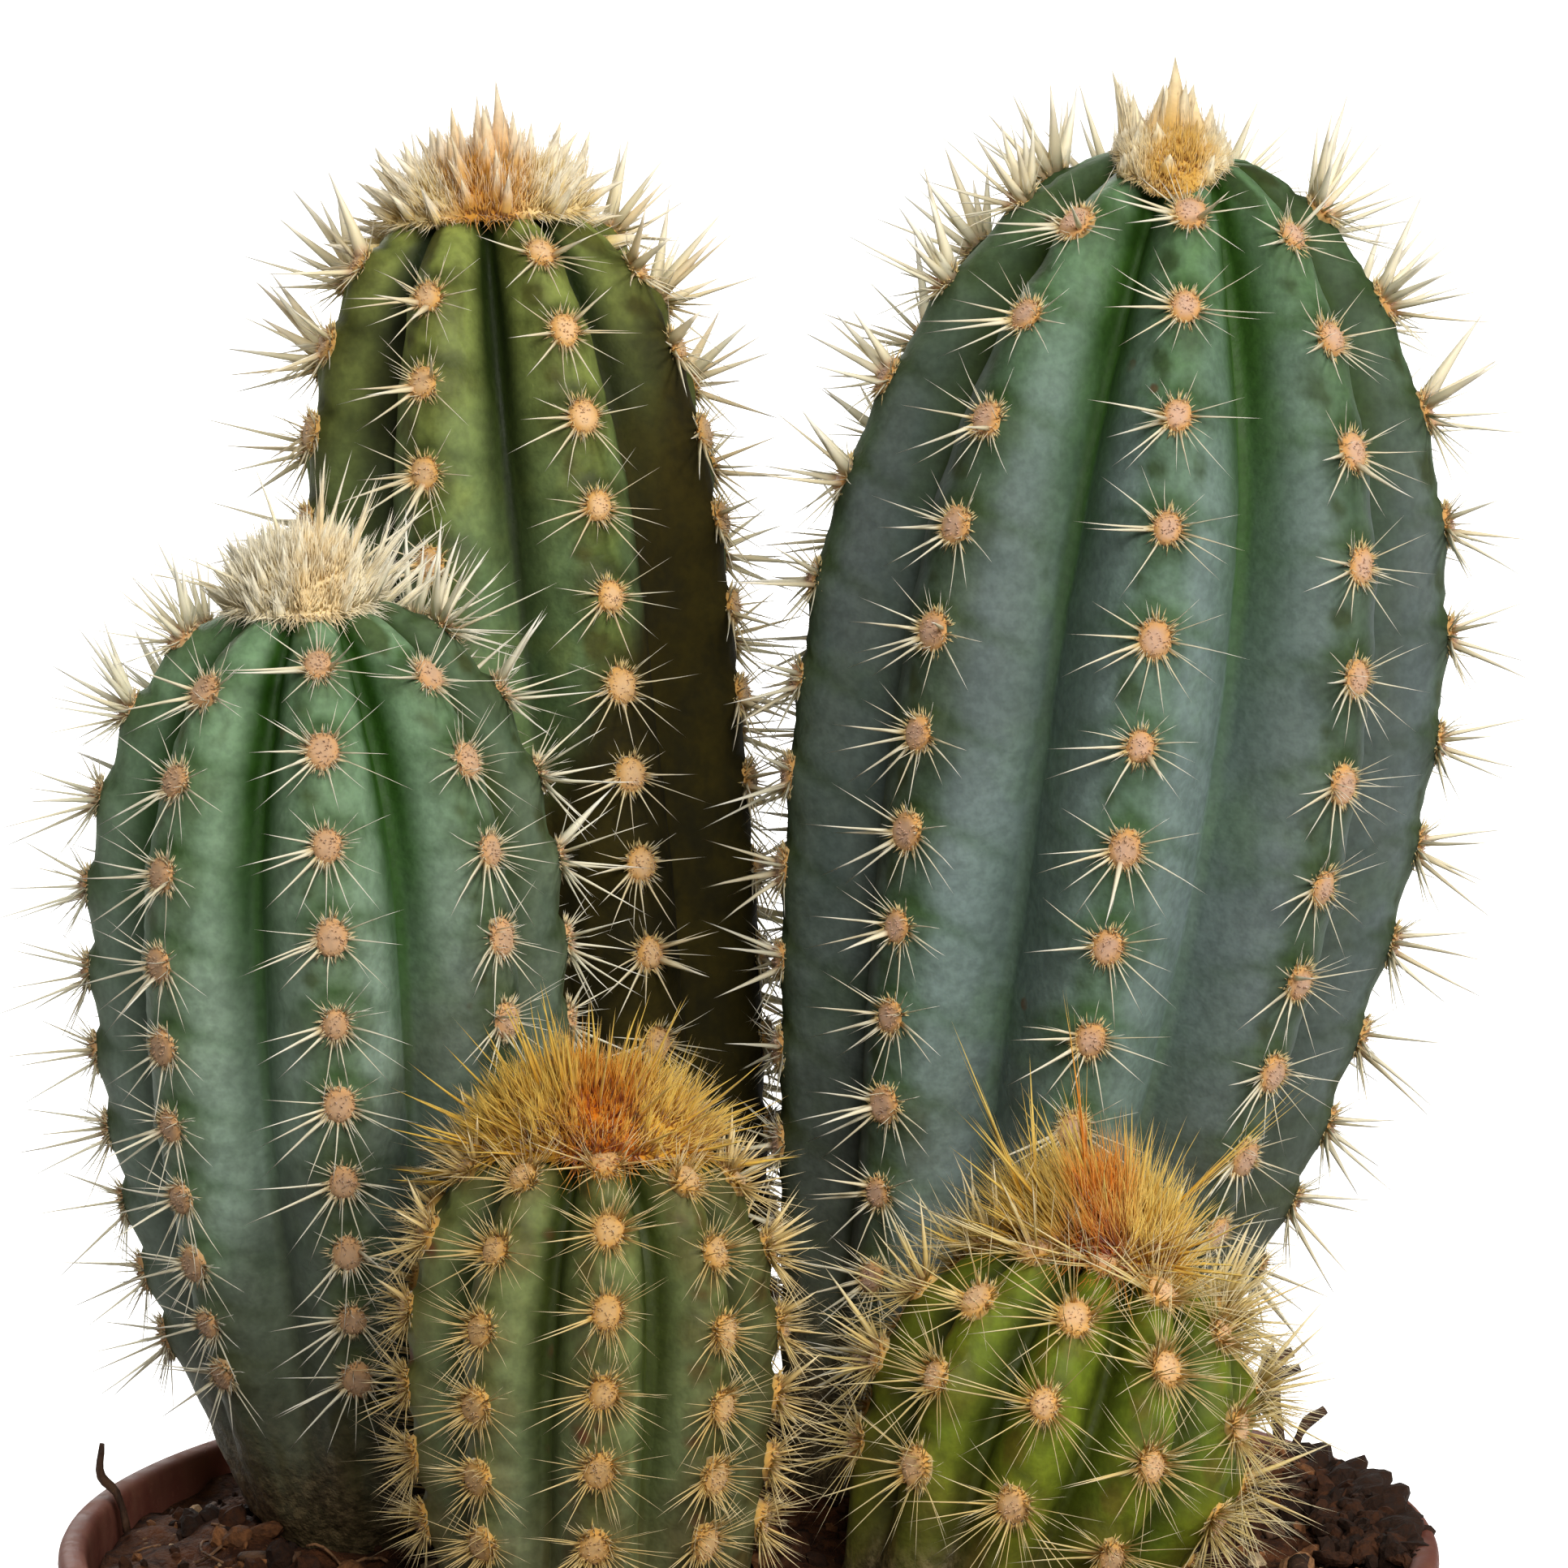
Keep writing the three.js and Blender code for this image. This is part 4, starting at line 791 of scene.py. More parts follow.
def make_spines(stem, seed):
    draw = np.random.default_rng(seed)
    n, name = len(stem.arc), stem.name
    batch = Batch("along", "tint", "stout")
    front = smooth((-0.1 - stem.out[:, 1]) / 0.3)
    first = np.maximum(1 - stem.row * 0.3, 0) * (1 - front)
    repeats, kept, thin, far = RADIAL_SET[name]
    for sides, plan in ((3, RADIALS * repeats), (5, CENTRALS), (7, YOUNG)):
        gathered = []
        for heading, climb, long, thick in plan:
            turn = np.radians(heading + draw.uniform(-9, 9, n))[:, None]
            steep = np.radians(climb + draw.uniform(-9, 9, n))[:, None]
            flat = stem.side * np.cos(turn) + stem.rise * np.sin(turn)
            stout = sides > 3
            away = PAD[name] * (0.75 if stout else 0.95)
            roots = stem.centre + flat * away + stem.out * 0.6
            aims = unit(flat * np.cos(steep) + stem.out * np.sin(steep))
            longer = 1 + SIDE_REACH[name] * (1 - front) if stout else far
            lengths = stem.spine * long * draw.uniform(0.7, 1.08, n) * longer
            radii = SPINE_RADIUS * thick * draw.uniform(0.75, 1.15, n) * (STOUT[name] if stout else thin)
            bends = stem.out * draw.uniform(-0.03, 0.07, n)[:, None] + draw.normal(0, 0.03, (n, 3))
            keep = draw.uniform(0, 1, n) < {3: kept, 5: 0.85 - 0.75 * front, 7: first * 0.9}[sides]
            gathered.append([a[keep] for a in (roots, aims, stem.out, lengths, radii, bends)])
        roots, aims, outs, lengths, radii, bends = (np.concatenate(parts) for parts in zip(*gathered))
        aims, lengths, keep = settle(stem, roots, aims, outs, lengths, bends)
        tint = draw.uniform(0, 1, len(roots)) ** 2
        add_spines(batch, roots[keep], aims[keep], lengths[keep], radii[keep], bends[keep], sides, 3,
                   tint=tint[keep], stout=float(sides > 3))
    # fine bristles between the spines, more of them on the right-hand side of the yellow stem
    many, low, high = BRISTLES[name]
    turn = draw.uniform(0, 2 * np.pi, (n, many))[..., None]
    flat = stem.side[:, None] * np.cos(turn) + stem.rise[:, None] * np.sin(turn)
    steep = np.radians(draw.uniform(15, 80, (n, many)))[..., None]
    roots = stem.centre[:, None] + flat * PAD[name] * 0.88 + stem.out[:, None] * 0.55
    aims = unit(flat * np.cos(steep) + stem.out[:, None] * np.sin(steep))
    lengths = draw.uniform(low, high, (n, many)) * draw.uniform(0.6, 1, (n, many))
    keep = np.ones((n, many), bool)
    if name == "front_right":
        keep = draw.uniform(0, 1, (n, many)) < 0.35 + 0.65 * smooth((stem.out[:, :1] - 0.1) / 0.5)
    outs = np.repeat(stem.out[:, None], many, 1)
    roots, aims, outs, lengths = roots[keep], aims[keep], outs[keep], lengths[keep]
    bends = draw.normal(0, 0.08, (len(roots), 3))
    aims, lengths, keep = settle(stem, roots, aims, outs, lengths, bends)
    add_spines(batch, roots[keep], aims[keep], lengths[keep], np.full(keep.sum(), 0.075), bends[keep],
               sides=3, rings=2, tint=draw.uniform(0, 0.6, keep.sum()))
    batch.make("spines_" + name, spine_look(name, *SPINES[name]), SLOTS[name][1], "stem_" + name)


def add_wedges(batch, draw, roots, aims, lengths, thick, core, hairs=26):
    """Tapered tufts, each a ribbed cone of matted spines with a few hairs along it."""
    n, sides, t = len(roots), 7, np.array([0, 0.2, 0.5, 0.78])
    u = unit(np.cross(aims, [0.31, 0.2, 0.93]))
    v = np.cross(aims, u)
    turn = 2 * np.pi * np.arange(sides) / sides
    around = u[:, None] * np.cos(turn)[:, None] + v[:, None] * np.sin(turn)[:, None]
    fluted = draw.uniform(0.7, 1.15, (n, 1, sides)) * (1 + 0.12 * draw.normal(0, 1, (n, len(t), sides)))
    width = (thick[:, None] * np.array([0.5, 0.82, 0.5, 0.2]))[..., None] * np.clip(fluted, 0.35, 1.5)
    bend = draw.normal(0, 0.05, (n, 3)) * lengths[:, None]
    path = roots[:, None] + aims[:, None] * (lengths[:, None] * t)[..., None]
    path = path + bend[:, None] * (t**2)[:, None]
    body = path[:, :, None] + around[:, None] * width[..., None]
    tip, base = roots + aims * lengths[:, None] + bend, roots - aims * 0.2
    points = np.concatenate([body.reshape(n, -1, 3), base[:, None], tip[:, None]], 1)
    batch.add_copies(points, *closed_faces(len(t), sides, left=True), core=core[:, None],
                     along=np.append(np.repeat(t, sides), [0, 1]), tint=draw.uniform(0, 1, n)[:, None])
    turn = draw.uniform(0, 2 * np.pi, (n, hairs))[..., None]
    out = u[:, None] * np.cos(turn) + v[:, None] * np.sin(turn)
    starts = roots[:, None] + out * (thick[:, None] * draw.uniform(0.3, 1.1, (n, hairs)))[..., None]
    share = draw.uniform(0.4, 1.02, (n, hairs))
    reach, wide = lengths[:, None] * share, thick[:, None] * np.clip(1.05 - share, 0, 1) * 0.9
    ends = roots[:, None] + aims[:, None] * reach[..., None] + out * wide[..., None]
    ends = ends + draw.normal(0, 0.1, out.shape)
    way = (ends - starts).reshape(-1, 3)
    total = n * hairs
    add_spines(batch, starts.reshape(-1, 3), unit(way), np.linalg.norm(way, axis=-1),
               draw.uniform(0.06, 0.12, total), draw.normal(0, 0.04, (total, 3)), sides=3, rings=2,
               core=np.repeat(core, hairs), tint=draw.uniform(0, 1, total))


def make_crown(stem, seed):
    """A bell of wool over the growing tip, with matted tufts and loose hairs round it."""
    draw = np.random.default_rng(seed)
    plan = dict(sway=0, long=(0, 0, 0)) | CROWNS[stem.name]
    centre, up, right, back = stem.frame(1.0)
    batch = Batch("along", "core", "tint")
    middle_x, middle_y = plan["shift"]
    swept = unit(up + right * plan["sway"])

    def foot_at(turn):
        """Where the wool's foot is: right, back, down the skin, and its height."""
        wide = 1 / np.hypot(np.sin(turn) / plan["wide"][0], np.cos(turn) / plan["wide"][1])
        x, y = middle_x + wide * np.sin(turn), middle_y - wide * np.cos(turn)
        arc = np.interp(np.hypot(x, y), stem.crest(stem.shares[:200]), stem.arcs[:200])
        return x, y, arc, (stem.frame(stem.share_at(arc))[0] - centre) @ up + 0.1

    def bell(turn, part):
        """Points on the wool and their outward ways. The part runs from 0 at the top to 1 at the foot."""
        x, y, _, foot = foot_at(turn)
        wide, high = np.sin(part * np.pi / 2), np.cos(part * np.pi / 2)
        x, y = middle_x + (x - middle_x) * wide, middle_y + (y - middle_y) * wide
        height = foot + (plan["tall"] - foot) * high
        out = right * np.sin(turn)[..., None] - back * np.cos(turn)[..., None]
        place = centre + right * x[..., None] + back * y[..., None] + up * height[..., None]
        return place, unit(out * wide[..., None] + up * (0.12 + high)[..., None]), out

    def heart(points):
        """How dark the wool is: most in a band through the middle."""
        middle, width = plan["heart"]
        off = (points - centre) @ right - middle + 1.2 * noise(points, 2.2, seed + 5)
        return np.exp(-((off / width) ** 2))

    sides, rows = 72, 16
    turn = np.broadcast_to(2 * np.pi * np.arange(sides) / sides, (rows, sides))
    part = np.broadcast_to(np.linspace(0.08, 1, rows)[:, None], (rows, sides))
    shell, aim, _ = bell(turn, part)
    tufted = 0.45 * noise(shell * (1, 1, 0.3), 1.3, seed) + 0.2 * noise(shell * (1, 1, 0.4), 0.6, seed + 1)
    shell = shell + aim * (tufted * smooth((1 - part) / 0.15))[..., None]
    # the foot turns in under the wool and into the skin
    x, y, arc, _ = foot_at(turn[0])
    share = stem.share_at(arc + 0.3)
    rib = (np.arctan2(x, -y) - stem.rib_angle(share, 0)) / (2 * np.pi / stem.ribs)
    tucked = stem.place(share, np.round(rib), 2 * (rib - np.round(rib)))
    tucked = tucked - unit(tucked - stem.frame(share)[0]) * 0.8
    top = centre + right * middle_x + back * middle_y
    points = np.concatenate([shell.reshape(-1, 3), tucked, [top + up * plan["tall"]], [top - up * 3]])
    batch.add(points, *closed_faces(rows + 1, sides), along=0.25, core=heart(points), tint=0.3)

    # felt and hairs all over the wool
    for many, low, high, rings in ((*FELT, 1), (plan["hairs"], *plan["hair"], 2)):
        turn = draw.uniform(0, 2 * np.pi, many)
        part = draw.uniform(0, 1, many) ** 0.55
        roots, aim, _ = bell(turn, part)
        aims = unit(aim + plan["sway"] * right + plan["stand"] * swept + draw.normal(0, 0.24, aim.shape))
        hem = part[:, None] > 0.93
        aims = np.where(hem, unit(aim - 0.6 * up + draw.normal(0, 0.4, aim.shape)), aims)
        long = draw.uniform(low, high, many) * (1 + 0.6 * noise(roots, 2.4, seed + 9))
        bends = draw.normal(0, 0.1, (many, 3))
        if rings > 1:
            lift = np.broadcast_to(up, (many, 3))
            aims, long, keep = settle(stem, roots + aims * 0.3, aims, lift, long, bends, 0.3)
            roots, aims, long, bends = roots[keep], aims[keep], long[keep], bends[keep]
        count = len(roots)
        add_spines(batch, roots - aims * 0.2, aims, long, HAIR_RADIUS * draw.uniform(0.65, 1.25, count),
                   bends, sides=3, rings=rings, ripe=0.8 if rings > 1 else 0.45,
                   core=heart(roots) * (0.85 if rings > 1 else 1), tint=draw.uniform(0, 1, count))

    # matted tufts: over the wool, and below it on the tops of the ribs
    over = plan["over"]
    order = np.arange(over) + 0.5
    turn = order * GOLDEN_TURN + draw.uniform(-0.25, 0.25, over)
    part = np.sqrt(order / over) * 0.97
    roots, _, out = bell(turn, part)
    least, most = plan["lean"]
    lean = np.radians((least + (most - least) * np.abs(np.sin(turn)) ** 1.4) * part)[:, None]
    aims = unit(out * np.sin(lean) + swept * np.cos(lean) + draw.normal(0, 0.1, roots.shape))
    long = (plan["long0"] + (plan["long1"] - plan["long0"]) * part) * draw.uniform(0.7, 1.1, over)
    thick = plan["thick"] * draw.uniform(0.75, 1.2, over)
    low, deep, thin = plan["skirt"]
    rib, across = draw.integers(0, stem.ribs, low), draw.uniform(-0.45, 0.45, low)
    turn = stem.rib_angle(0.98, rib) + across * np.pi / stem.ribs
    beside = np.cos(turn) < 0.25
    rib, across, turn = rib[beside], across[beside], turn[beside]
    low = len(rib)
    share = stem.share_at(foot_at(turn)[2] + deep * draw.uniform(0, 1, low))
    low_roots = stem.place(share, rib, across)
    low_aims = unit(low_roots - (centre - 0.9 * stem.seat * up) + draw.normal(0, 0.5, low_roots.shape))
    core = np.append(heart(roots) * 0.8, np.zeros(low))
    roots, aims = np.concatenate([roots, low_roots]), np.concatenate([aims, low_aims])
    long = np.append(long, stem.crown[1] * draw.uniform(0.6, 1.05, low))
    thick = np.append(thick, thin * draw.uniform(0.8, 1.25, low))
    still = np.zeros((len(roots), 3))
    lift = np.broadcast_to(up, still.shape)
    aims, long, keep = settle(stem, roots + aims * 0.3, aims, lift, long, still, 0.5)
    add_wedges(batch, draw, (roots - aims * 0.5)[keep], aims[keep], long[keep] + 0.5, thick[keep], core[keep])
    if plan["peaks"]:
        peaks = np.array(plan["peaks"])
        axes = np.stack([right, back, up])
        roots, tips = centre + peaks[:, :3] @ axes, centre + peaks[:, 3:6] @ axes
        way = tips - roots
        thick = peaks[:, 6]
        hairs = int(np.clip(45 * thick.mean(), 8, 80))
        add_wedges(batch, draw, roots, unit(way), np.linalg.norm(way, axis=-1), thick,
                   heart(roots) * 0.9, hairs)

    # long single spines
    many, low, high = plan["long"]
    if many:
        climb = draw.uniform(0.03, 0.85, many)
        turn = draw.uniform(0, 2 * np.pi, many)
        roots, _, out = bell(turn, 1 - climb)
        climb = climb * np.pi / 2
        aims = unit(out * np.cos(climb)[:, None] + swept * (np.sin(climb) + 0.15)[:, None])
        long = draw.uniform(low, high, many)
        bends = draw.normal(0, 0.06, (many, 3))
        aims, long, keep = settle(stem, roots, aims, np.broadcast_to(up, (many, 3)), long, bends, 0.5)
        add_spines(batch, (roots - aims * 0.4)[keep], aims[keep], long[keep],
                   draw.uniform(0.14, 0.26, keep.sum()), bends[keep], rings=4, core=0.1, tint=0.5)
    name = stem.name
    batch.make("crown_wool_" + name, wool_look(name, *WOOLS[name]), SLOTS[name][1], "crown_" + name)


SLOTS = each(("stem_dark", "wool_tan"), ("stem_blue", "wool_tan"), ("stem_teal", "wool_cream"),
             ("stem_green", "wool_gold"), ("stem_yellow", "wool_gold"))
# Tones of the pads (rim, middle, fringe), the spines (root, body, tip) and the wool (core, body, tip).
PADS = each(("dca658", "ecc69a", "ecd08c"), ("dca45e", "deb8a0", "eed494"), ("d6a470", "d0ac8c", "e8d4a4"),
            ("d09c4c", "d4ae7a", "e2be6c"), ("e0aa58", "ecc498", "eed084"))
SPINES = each(("d8ac6c", "ece0bc", "f8f2e2"), ("dcbe80", "f0e8cc", "faf6ea"), ("dcc698", "ece6cc", "f8f4e8"),
              ("c89c44", "e0c484", "eedcb0"), ("d0a048", "e6ce8a", "f4e8c4"))
WOOLS = each(("dc9c3a", "f4d890", "fcf4e0"), ("dcac50", "eed294", "f6ecd0"), ("f8e0ae", "faecc6", "fcf6e2"),
             ("d0740a", "dca22c", "e4c05a"), ("e47400", "e2a82a", "eed070"))

for number, stem in enumerate(stems.values()):
    make_skin(stem, 10 + number)
    make_pads(stem, 30 + number)
    make_spines(stem, 50 + number)
    make_crown(stem, 70 + number)


# ---- the soil ----
def hole_ring(stem, sides, room):
    """Edge of the soil round a stem: x and y."""
    way = ring_of(1, sides)
    foot = stem.controls[0][:2] + stem.foot_radius * way
    share = np.clip((soil_height(*foot.T) - SOIL["level"]) / stem.height, 0, 1)
    return stem.frame(share)[0][:, :2] + (stem.crest(share) + room)[:, None] * way


def fill_plate(outer, holes, spacing, draw):
    """Triangles of a flat plate with holes: points (x, y) and faces, seen from above."""
    reach = np.abs(outer).max()
    steps = int(reach / spacing) + 1
    gx, gy = np.meshgrid(np.arange(-steps, steps + 1), np.arange(-steps, steps + 1))
    grid = np.stack([(gx + 0.5 * (gy % 2)).ravel(), (gy * 0.866).ravel()], -1) * spacing
    grid = grid + draw.uniform(-0.25, 0.25, grid.shape) * spacing
    loops = [outer, *holes]
    keep = np.hypot(*grid.T) < np.hypot(*outer.T).min() - 0.5 * spacing
    for loop in holes:
        centre = loop.mean(0)
        keep &= np.hypot(*(grid - centre).T) > np.hypot(*(loop - centre).T).max() + 0.45 * spacing
    points = np.concatenate([*loops, grid[keep]])
    edges, start = [], 0
    for loop in loops:
        edges += [(start + i, start + (i + 1) % len(loop)) for i in range(len(loop))]
        start += len(loop)
    verts, _, faces, origins, _, _ = delaunay_2d_cdt([Vector(p) for p in points], edges, [], 0, 1e-7)
    if len(verts) != len(points):
        raise ValueError("the plate's points moved")
    order = np.array([source[0] for source in origins])
    faces = order[np.array(faces)]
    middle = points[faces].mean(1)
    inside = np.hypot(*middle.T) < np.hypot(*outer.T).max() * 1.001
    start = len(outer)
    for loop in holes:
        inside &= ~np.all((faces >= start) & (faces < start + len(loop)), 1)
        start += len(loop)
    return points, faces[inside]


def soil_top(xy):
    """Height of the rough soil surface."""
    p = np.column_stack([xy, np.zeros(len(xy))])
    edge = smooth((SOIL_ROUGH - np.hypot(*xy.T)) / 5)
    rough = 0.75 * noise(p, 5, 5) + 0.5 * noise(p, 2.4, 6) + 0.3 * noise(p, 1.2, 7)
    return soil_height(*xy.T) + rough * (0.35 + 0.65 * edge)


def ico(level):
    """A round blob's points and faces."""
    g = (1 + 5**0.5) / 2
    points = [(-1, g, 0), (1, g, 0), (-1, -g, 0), (1, -g, 0), (0, -1, g), (0, 1, g), (0, -1, -g), (0, 1, -g),
              (g, 0, -1), (g, 0, 1), (-g, 0, -1), (-g, 0, 1)]
    faces = [(0, 11, 5), (0, 5, 1), (0, 1, 7), (0, 7, 10), (0, 10, 11), (1, 5, 9), (5, 11, 4), (11, 10, 2),
             (10, 7, 6), (7, 1, 8), (3, 9, 4), (3, 4, 2), (3, 2, 6), (3, 6, 8), (3, 8, 9), (4, 9, 5),
             (2, 4, 11), (6, 2, 10), (8, 6, 7), (9, 8, 1)]
    points = [unit(np.array(p, float)) for p in points]
    for _ in range(level):
        middles, split = {}, []
        for face in faces:
            halves = []
            for a, b in zip(face, (*face[1:], face[0])):
                key = (min(a, b), max(a, b))
                if key not in middles:
                    middles[key] = len(points)
                    points.append(unit(points[a] + points[b]))
                halves.append(middles[key])
            (a, b, c), (ab, bc, ca) = face, halves
            split += [(a, ab, ca), (b, bc, ab), (c, ca, bc), (ab, bc, ca)]
        faces = split
    return np.array(points), np.array(faces)


def turned(draw):
    """A random turn, as a matrix."""
    w, x, y, z = unit(draw.normal(0, 1, 4))
    return np.array([[1 - 2 * (y * y + z * z), 2 * (x * y - z * w), 2 * (x * z + y * w)],
                     [2 * (x * y + z * w), 1 - 2 * (x * x + z * z), 2 * (y * z - x * w)],
                     [2 * (x * z - y * w), 2 * (y * z + x * w), 1 - 2 * (x * x + y * y)]])


def crumb(draw, ball, scale, rough, shift, seed):
    """Points of a rough lump, turned at random."""
    points = ball * (1 + rough * noise(ball * 3 + shift, 1.1, seed)[:, None])
    return (points * scale) @ turned(draw).T


def clear_of_stems(xy, room):
    """Which places on the soil are this far from every stem and from the wall."""
    good = np.hypot(*xy.T) < SOIL_LOOSE - room
    for stem in stems.values():
        good &= np.hypot(*(xy - np.array(stem.foot)).T) > stem.foot_radius + room
    return good


def sweep(batch, path, thick, wide, seed, sides=8, rough=0.12, grain=None, **values):
    """A rough stick along a smooth path, closed at both ends."""
    path = np.asarray(path, float)
    ways = unit(np.gradient(path, axis=0))
    u = unit(np.cross(ways, [0.3, 0.9, 0.2]))
    v = np.cross(ways, u)
    turn = 2 * np.pi * np.arange(sides) / sides
    ring = (u[:, None] * np.cos(turn)[:, None] * thick / 2 + v[:, None] * np.sin(turn)[:, None] * wide / 2)
    points = path[:, None] + ring
    points = points + ring * (rough * 3 * noise(points, grain or 0.9 + thick, seed)[..., None])
    points = np.concatenate([points.reshape(-1, 3), path[:1], path[-1:]])
    batch.add(points, *closed_faces(len(path), sides, left=True), **values)


def curve_through(route, count):
    """Points on a smooth curve through a short route."""
    route = np.asarray(route, float)
    route = np.concatenate([[2 * route[0] - route[1]], route, [2 * route[-1] - route[-2]]])
    out = []
    for t in np.linspace(0, len(route) - 3 - 1e-9, count):
        i, f = int(t), t - int(t)
        a, b, c, d = route[i:i + 4]
        out.append(0.5 * (2 * b + (c - a) * f + (2 * a - 5 * b + 4 * c - d) * f**2
                          + (3 * b - a - 3 * c + d) * f**3))
    return np.array(out)


def soil_look():
    look = Look("potting_soil", 0.95, Specular_IOR_Level=0.2)
    coarse, medium, fine = look.noise(6, 4, 0.6), look.noise(1.8, 4, 0.65), look.noise(0.5, 3, 0.6)
    base = look.mix(look.band(medium, 0.36, 0.64), "2e170b", "52301a")
    base = look.over(base, "5e351c", coarse, 0.5, 0.68, 0.6)
    base = look.over(base, "6a4129", fine, 0.6, 0.72, 0.6)
    base = look.mix(look.band(look.cells(1.7), 0.16, 0.08, 0.0, 0.6), base, "846444")
    rough = look.band(fine, 0.3, 0.7, 0.82, 1.0)
    return look.finish(base, rough, look.bump(fine, 0.7, 0.5, look.bump(medium, 0.8, 1.0)))


def bits_look():
    look = Look("soil_bits", 0.9, Specular_IOR_Level=0.25)
    tint, fine = look.value("tint"), look.noise(0.7, 4, 0.65)
    base = look.mix(look.band(tint, 0.0, 0.45), "28170d", "4c2c18")
    base = look.over(base, "93623c", tint, 0.5, 0.75)
    base = look.over(base, "c9b08c", tint, 0.82, 0.95)
    base = look.mottle(base, 0.6, fine, 0.35, 0.65, "6a6460")
    return look.finish(base, look.band(fine, 0.3, 0.7, 0.75, 0.95), look.bump(fine, 0.7, 0.4))


def wood_look():
    look = Look("wood_bits", 0.8, Specular_IOR_Level=0.3)
    tint = look.value("tint")
    grain, fine = look.noise(1.1, 4, 0.65, (1, 1, 0.3)), look.noise(0.4, 3)
    base = look.mix(look.band(tint, 0.0, 1.0), "38241a", "8a6444")
    base = look.over(base, "24160f", grain, 0.42, 0.62, 0.75)
    base = look.over(base, "a88a66", fine, 0.62, 0.78, 0.3)
    return look.finish(base, look.band(fine, 0.3, 0.7, 0.7, 0.9), look.bump(grain, 0.7, 0.5))


